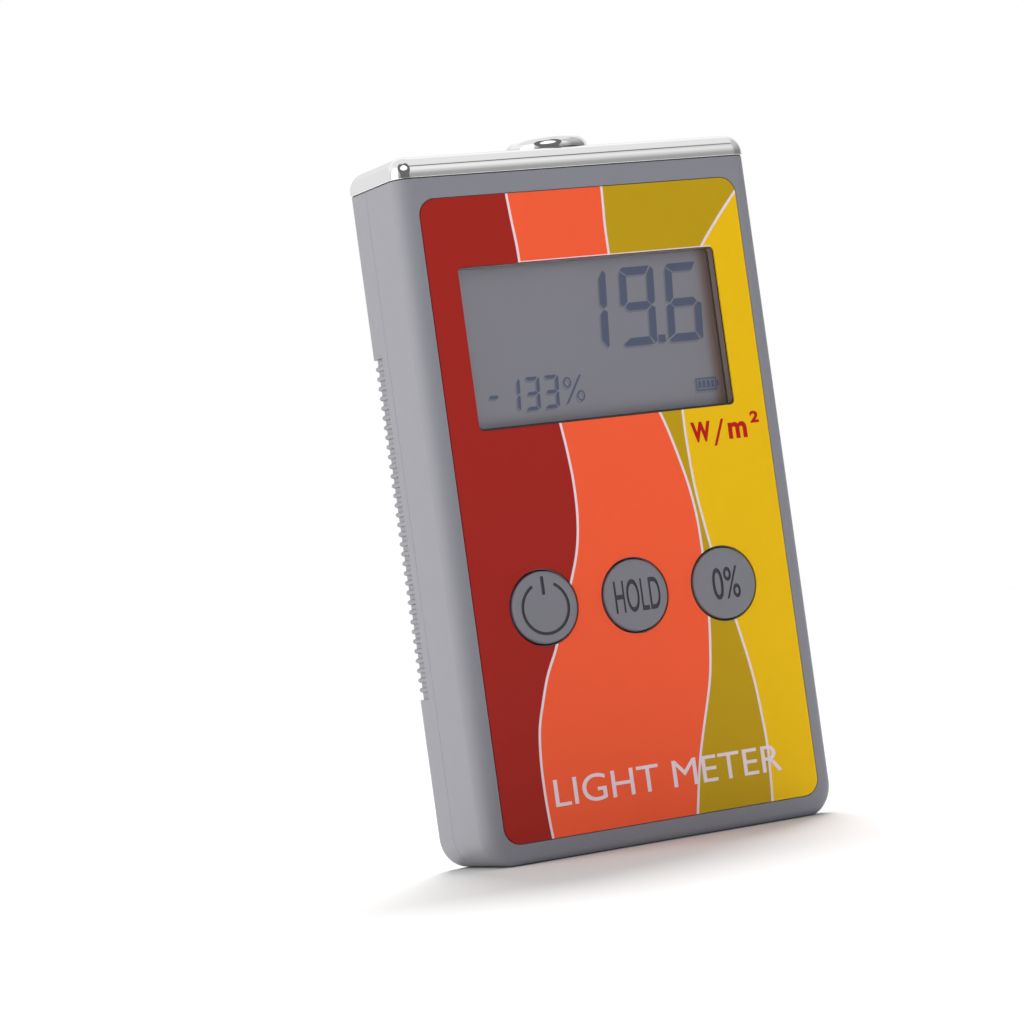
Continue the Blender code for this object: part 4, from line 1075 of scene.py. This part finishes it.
def lens():
    """The clear window, held by a flange behind the case's front."""
    half_w, half_h = LENS_HIGH.x - LENS_MIDDLE.x, LENS_HIGH.z - LENS_MIDDLE.z
    flange = rounded_rect(LENS_MIDDLE.xz, half_w, half_h, 1.0, 6)
    body, rim = window_outline(LENS_GAP), window_outline(LENS_GAP + LENS_BEVEL)
    ledge = LENS_HIGH.y - FLANGE_THICK
    levels = [(LENS_LOW.y, rim), (LENS_LOW.y + LENS_BEVEL, body), (ledge, body)]
    levels += [(ledge, flange), (LENS_HIGH.y, flange)]
    window = stack("window_lens", "Y", levels, MATERIALS["clear_acrylic"], MATERIALS["lens_inner"])
    for polygon in window.data.polygons:
        if polygon.center.y / MM > LENS_LOW.y + LENS_BEVEL + 0.01:
            polygon.material_index = 1
    piece(smooth(window, 20.0), "clear_acrylic", "display_lens")


def foam_surround():
    """The foam between the lens's flange and the display, bevelled towards the window; its brown is painted
    shade and painted reflection of the yellow print, filling the dark line at the window's edge.
    """
    back, front = LCD_LOW.y - 0.05, LENS_HIGH.y + 0.05
    corners = ((front, -0.05), (back, FOAM_REACH), (back, -1.0), (front, -1.0))
    builder = bmesh.new()
    add_loft(builder, [placed(window_outline(inset), "Y", y) for y, inset in corners], closed=True)
    foam = made("foam_surround", builder, MATERIALS["foam"])
    piece(smooth(foam), "black_plastic")


def window_trim():
    """A dark ring of painted shade round the lens, widest low and right where the gap at its edge is shaded,
    and the white line printed over the window.
    """
    y = LENS_LOW.y - 0.03
    outer = window_outline(0.02)
    # Painted shade: the inner outline moves left on the right side and up at the bottom, so the ring is
    # widest there.
    inner = [(x - 0.12 * (x > LENS_MIDDLE.x), z + 0.3 * (z < LENS_MIDDLE.z)) for x, z in window_outline(0.1)]
    painted_shade_line = prisms("window_painted_shade_line", "Y", band(outer, inner), y, LENS_LOW.y, MATERIALS["black_plastic"])
    piece(painted_shade_line, "black_plastic")
    left, right = -13.5, LENS_MIDDLE.x + WINDOW_HALF_W - 0.5
    low = LENS_MIDDLE.z + WINDOW_HALF_H + 0.03
    line = [(right, low + 0.16), (left, low + 0.16), (left, low), (right, low)]
    face = FILM_LOW.y
    piece(prisms("window_line", "Y", [line], face - PRINT_THICK, face, INKS[-1]), "printed_film")


# ---- Buttons ----

LEGEND_DEPTH = 0.16
# The worded legends, with the half width and half height of each.
LEGENDS = {"hold": ("HOLD", 4.5, 2.85), "zero": ("0%", 2.75, 2.8)}
RING_R = 4.65
RING_BORE_R = 4.12
KEY_WALL = 1.3
KEY_BORE_R = 5.2
KEY_FLANGE = 0.7


def power_legend(x, z):
    """An open ring and a bar."""
    ring_z = z - 0.1
    outer = arc((x, ring_z), RING_R, RING_R, 118, 422, 40)
    inner = arc((x, ring_z), RING_BORE_R, RING_BORE_R, 422, 118, 40)
    bar = rounded_rect((x - 0.05, z + 3.75), 0.3, 1.6, 0.22, 4)
    return [outer + inner, bar]


def legend_tool(label, middle, face):
    """The space that a button's legend takes out of its face."""
    floor = face + LEGEND_DEPTH
    if label == "power":
        return blocks(power_legend(middle.x, middle.z), face - PAST, floor)
    text, half_w, half_h = LEGENDS[label]
    x = middle.x + 0.15
    low, high = (x - half_w, middle.z - half_h), (x + half_w, middle.z + half_h)
    return lettering("legend", text, low, high, floor, PAST + LEGEND_DEPTH, [], weight=0.006)


def button(label):
    """A round button with a softly rounded face edge and its legend sunk into the face."""
    low, high, middle = BUTTONS[label]
    face, flange_r = low.y, high.x - middle.x
    centre = (middle.x, middle.z)
    stop = FRONT_WALL_Y + 0.3
    edge = arc((BUTTON_R - 0.7, face + 0.5), 0.6, 0.5, 270, 360, 10)
    profile = [(0, face), (2.5, face), (4.5, face)] + edge
    profile += [(BUTTON_R - 0.1, stop), (flange_r, stop), (flange_r, stop + KEY_FLANGE)]
    profile += [(KEY_BORE_R, stop + KEY_FLANGE), (KEY_BORE_R, face + KEY_WALL), (0, face + KEY_WALL)]
    materials = (MATERIALS["button_grey"], MATERIALS["legend"])
    cap = turned(label + "_key", "Y", centre, profile, *materials, steps=96)
    cut(cap, legend_tool(label, middle, face))
    for polygon in cap.data.polygons:
        x, y, z = polygon.center / MM
        sunk = face + 0.01 < y < face + LEGEND_DEPTH + 0.01
        if sunk and math.hypot(x - centre[0], z - centre[1]) < BUTTON_R - 0.7:
            polygon.material_index = 1
    return piece(smooth(cap), "button_grey", label + "_button", body=label + "_button")


# ---- Back and battery bay ----

SLOT = (1.15, 0.24)
NUB = 1.0
RIM_R = 0.45
BAND = 8.0
WIRE_R = 0.35
COIL_WIDE_R = 3.9
COIL_NARROW_R = 2.4
TURNS = 3
PER_TURN = 28

# The words on the plate, with the low, high and half width of each line about the plate's middle.
PLATE_WORDS = (
    ("LIGHT METER", 6.0, 9.2, 13.0),
    ("1.5 V x 4  SIZE AAA", -1.4, 1.2, 13.0),
    ("+  -  +  -", -8.2, -6.2, 9.0),
)
PLATE_RULES = (3.6, -3.4)


def plate_outline(inset, radius, steps=CORNER_STEPS):
    middle = (0, LABEL_MIDDLE.z)
    return rounded_rect(middle, LABEL_HIGH.x - inset, LABEL_HALF_H - inset, radius, steps)


def label_plate():
    """The plain foil plate on the back, with a printed frame and generic words."""
    face, ink = LABEL_HIGH.y, [MATERIALS["label_ink"]]
    levels = [(LABEL_LOW.y, 0.0), (face - 0.08, 0.0), (face, 0.08)]
    outlines = [(y, plate_outline(inset, 1.3 - inset)) for y, inset in levels]
    plate = stack("label_plate", "Y", outlines, MATERIALS["label_plate"])
    piece(smooth(plate), "label_plate", "rear_label")
    border = band(plate_outline(1.0, 1.0, 6), plate_outline(1.25, 0.75, 6))
    rules = [box_outline(15.0, LABEL_MIDDLE.z + z, LABEL_MIDDLE.z + z + 0.2) for z in PLATE_RULES]
    piece(prisms("label_rules", "Y", border + rules, face, face + PRINT_THICK, *ink), "label_plate")
    for number, (text, low, high, half) in enumerate(PLATE_WORDS, 1):
        corners = ((-half, LABEL_MIDDLE.z + low), (half, LABEL_MIDDLE.z + high))
        name = "label_words_" + str(number)
        words = lettering(name, text, *corners, face, PRINT_THICK, ink, faces_rear=True)
        piece(words, "label_plate")


def case_screw(number):
    """A pan-head screw with a cross recess, seen down its counterbore."""
    name = "case_screw_" + str(number)
    low, high, middle = node_box(name)
    head_r = (high.x - low.x) / 2
    seat = high.y - 1.75
    crown = arc((0, seat + 0.5), head_r, high.y - seat - 0.5, 0, 90, 10)
    profile = [(0, low.y), (1.05, low.y + 0.5), (1.05, seat), (head_r, seat)] + crown[:-1] + [(0, high.y)]
    screw = turned(name + "_head", "Y", (middle.x, middle.z), profile, MATERIALS["steel"], steps=40)
    tool = None
    for half_w, half_h in (SLOT, SLOT[::-1]):
        slot = box_outline(half_w, middle.z - half_h, middle.z + half_h, middle.x)
        arm = blocks([slot], high.y - 0.9, high.y + PAST)
        if tool:
            merge(tool, arm)
        tool = tool or arm
    cut(screw, tool)
    return piece(smooth(screw, 40.0), "steel", name)


def cell(number):
    """A battery cell: a printed sleeve rolled over the rims of a metal can, its plus end banded."""
    name = "battery_cell_" + str(number)
    low, high, middle = node_box(name)
    nub_up = number % 2 == 1
    tip, base = (high.z, low.z) if nub_up else (low.z, high.z)
    sign = 1 if nub_up else -1
    radius = (high.x - low.x) / 2
    body = tip - sign * NUB
    roll = (radius - RIM_R, RIM_R, sign * RIM_R)
    rim = arc((roll[0], body - roll[2]), roll[1], roll[2], 90, 0, 6)
    heel = arc((roll[0], base + roll[2]), roll[1], -roll[2], 0, 90, 6)
    nub = arc((1.6, tip - sign * 0.3), 0.3, sign * 0.3, 90, 0, 5)
    profile = [(0, tip)] + nub + [(1.9, body - sign * 0.35), (3.9, body - sign * 0.35), (3.9, body)]
    profile += rim + [(radius, body - sign * BAND), (radius, body - sign * (BAND + 0.01))]
    profile += heel + [(4.1, base), (4.1, base + sign * 0.2), (0, base + sign * 0.2)]
    materials = (MATERIALS["cell_sleeve"], MATERIALS["band"], MATERIALS["nickel"])
    can = turned(name + "_can", "Z", (middle.x, middle.y), profile, *materials)
    for polygon in can.data.polygons:
        x, y, z = polygon.center / MM
        across = math.hypot(x - middle.x, y - middle.y)
        if across < 3.95:
            polygon.material_index = 2
        elif abs(z - body) < BAND:
            polygon.material_index = 1
    piece(smooth(can), "cell_sleeve", name)


def spring(number):
    """A conical coil in round wire, wide against its plate and narrow against its cell."""
    name = "battery_spring_" + str(number)
    low, high, _ = node_box(name)
    _, _, middle = node_box("battery_cell_" + str(number))
    start, end = low.z + WIRE_R, high.z - WIRE_R
    if number % 2 == 0:
        start, end = end, start
    curve = bpy.data.curves.new(name, "CURVE")
    curve.dimensions = "3D"
    curve.bevel_depth = WIRE_R * MM
    curve.bevel_resolution = 4
    curve.use_fill_caps = True
    spline = curve.splines.new("POLY")
    spline.points.add(TURNS * PER_TURN)
    for index, place in enumerate(spline.points):
        share = index / (TURNS * PER_TURN)
        turn = 2 * math.pi * index / PER_TURN
        radius = COIL_WIDE_R + (COIL_NARROW_R - COIL_WIDE_R) * share
        x = middle.x + radius * math.cos(turn)
        y = middle.y + radius * math.sin(turn)
        place.co = (x * MM, y * MM, (start + (end - start) * share) * MM, 1.0)
    curve.materials.append(MATERIALS["nickel"])
    return piece(linked(name + "_coil", curve), "nickel", name)


# ---- Stage ----

FLOOR_HALF = 3.0
TENT_TINT = (0.98, 0.985, 1.03, 1.0)
KEY_TINT = (1.0, 0.975, 0.89)
FLOOR_GREY = (0.60, 0.60, 0.60)
METER_MIDDLE = Vector((0, 0, 0.07))

# How bright each part of the tent and each lamp is.
WALL_LIGHT = 0.97
PANEL_LIGHT = 1.35
ROOF_LIGHT = 0.86
SEAM_LIGHT = 0.2
DOOR_LIGHT = 0.15
LAMP_LIGHT = 1.4
EVEN_LIGHT = 0.52
LEFT_LIGHT = 3.7
TOP_LIGHT = 1.0
FRONT_LIGHT = 1.6
BACK_LIGHT = 5.1

# Where its parts are, in degrees.
GAP_AZIMUTH = 17.0
LAMP_ELEVATION = 50.0
LAMP_HALF_W = 28.0
LAMP_HALF_H = 17.0
SEAM_ELEVATION = 49.5


def floor():
    """A plain pale sheet that the meter stands on."""
    builder = bmesh.new()
    bmesh.ops.create_grid(builder, x_segments=1, y_segments=1, size=FLOOR_HALF / MM)
    sheet = made("floor", builder, surface("floor_paper", FLOOR_GREY, 0.9, 2.0, 0.0, 0.0))
    sheet.location.z = -0.00005


def toward(azimuth, elevation):
    """A direction from the meter. Azimuth is from its front towards its right side, -X."""
    turn, rise = math.radians(azimuth), math.radians(elevation)
    return Vector((-math.sin(turn) * math.cos(rise), -math.cos(turn) * math.cos(rise), math.sin(rise)))


def lamp(name, kind, out, distance, energy, **settings):
    """A light that shines back along its direction on the middle of the meter."""
    light = bpy.data.lights.new(name, kind)
    light.energy = energy
    for setting, value in settings.items():
        setattr(light, setting, value)
    obj = linked(name, light)
    obj.location = METER_MIDDLE + out * distance
    obj.rotation_mode = "QUATERNION"
    obj.rotation_quaternion = out.to_track_quat("Z", "Y")
    return obj


def softbox(name, azimuth, elevation, distance, size, brightness, **settings):
    """A flat square lamp, with the brightness of its face, which bright metal doesn't show."""
    energy = brightness * math.pi * size * size
    obj = lamp(name, "AREA", toward(azimuth, elevation), distance, energy, size=size, **settings)
    obj.visible_glossy = False
    obj.visible_camera = False


def walls(graph, azimuth, elevation):
    """The tent's walls: dimmer near the floor and on the right, bright on the left."""
    low = graph.ramp(elevation, 2.0, 34.0, 0.26, 1.0)
    right = graph.fade(azimuth, -56.0, -30.0, 0.58, 1.0)
    far_right = graph.fade(azimuth, -140.0, -105.0, 1.9, 1.0)
    behind = graph.fade(graph.math("ABSOLUTE", azimuth), 98.0, 118.0, 0.0, 0.86)
    level = graph.math("MAXIMUM", graph.product(low, right, far_right), behind)
    panel = graph.product(graph.fade(graph.off(azimuth, 84.0), 18.0, 34.0, 1.0, 0.0), PANEL_LIGHT)
    return graph.math("MAXIMUM", graph.product(level, WALL_LIGHT), panel)


def doorway(graph, azimuth, elevation):
    """How far a direction is in the dark gap that the camera looks through, which widens upwards."""
    half = graph.ramp(elevation, 12.0, 72.0, 28.0, 64.0)
    past = graph.math("SUBTRACT", graph.off(azimuth, GAP_AZIMUTH), half)
    return graph.product(graph.fade(past, -3.0, 3.0, 1.0, 0.0), graph.fade(elevation, 74.0, 82.0, 1.0, 0.0))


def lamp_in_door(graph, azimuth, elevation):
    """The round lamp high in the gap."""
    across = graph.math("DIVIDE", graph.math("SUBTRACT", azimuth, GAP_AZIMUTH), LAMP_HALF_W)
    up = graph.math("DIVIDE", graph.math("SUBTRACT", elevation, LAMP_ELEVATION), LAMP_HALF_H)
    reach = graph.math("ADD", graph.product(across, across), graph.product(up, up))
    return graph.fade(reach, 0.8, 1.2, 1.0, 0.0)


def seam_line(graph, azimuth, elevation):
    """The dark seam between the front wall and the roof, wider towards the gap."""
    half = graph.fade(azimuth, -30.0, -16.0, 2.6, 7.5)
    past = graph.math("SUBTRACT", graph.off(elevation, SEAM_ELEVATION), half)
    ends = (graph.fade(azimuth, -62.0, -50.0), graph.fade(azimuth, -10.0, 0.0, 1.0, 0.0))
    return graph.product(graph.fade(past, -1.0, 1.0, 1.0, 0.0), *ends)


def room():
    """A white tent: what shines back from bright metal is uneven, and what lights dull surfaces is even."""
    world = bpy.data.worlds.new("tent")
    bpy.context.scene.world = world
    world.use_nodes = True
    graph = Graph(world.node_tree)
    direction = graph.add("ShaderNodeTexCoord").outputs["Generated"]
    x, y, z = graph.add("ShaderNodeSeparateXYZ", {0: direction}).outputs
    azimuth = graph.math("ARCTAN2", graph.product(x, -1.0), graph.product(y, -1.0))
    place = (graph, graph.math("DEGREES", azimuth), graph.math("DEGREES", graph.math("ARCSINE", z)))
    roof = graph.fade(place[2], 44.0, 56.0)
    level = graph.blend(roof, walls(*place), ROOF_LIGHT)
    level = graph.blend(seam_line(*place), level, SEAM_LIGHT)
    level = graph.blend(doorway(*place), level, DOOR_LIGHT)
    level = graph.blend(lamp_in_door(*place), level, LAMP_LIGHT)
    rays = graph.add("ShaderNodeLightPath").outputs
    level = graph.blend(rays["Is Glossy Ray"], EVEN_LIGHT, level)
    background = world.node_tree.nodes["Background"]
    seen = graph.math("MAXIMUM", rays["Is Camera Ray"], rays["Is Glossy Ray"])
    colour = graph.mix(seen, TENT_TINT, (1.0, 1.0, 1.0, 1.0))
    level = graph.blend(rays["Is Camera Ray"], level, 1.0)
    graph.feed(background, {"Strength": level, "Color": colour})


def stage():
    bpy.context.scene.view_settings.view_transform = "Standard"
    floor()
    room()
    softbox("left_light", 106.0, 22.0, 0.5, 0.42, LEFT_LIGHT, color=KEY_TINT)
    softbox("top_light", 10.0, 58.0, 0.34, 0.22, TOP_LIGHT)
    softbox("front_light", 28.0, 5.0, 0.5, 0.2, FRONT_LIGHT)
    back = lamp("back_light", "SUN", toward(-147.0, 50.0), 0.9, BACK_LIGHT, angle=math.radians(32))
    back.visible_glossy = False


# ---- The whole meter ----


def build():
    camera()
    stage()
    finish_kept_nodes()
    case_front()
    case_rear()
    door()
    chrome_cap()
    sensor_ring()
    printed_film()
    film_lettering()
    display()
    lens()
    foam_surround()
    window_trim()
    for label in BUTTONS:
        button(label)
    label_plate()
    for number in range(1, 5):
        case_screw(number)
        cell(number)
        spring(number)


build()
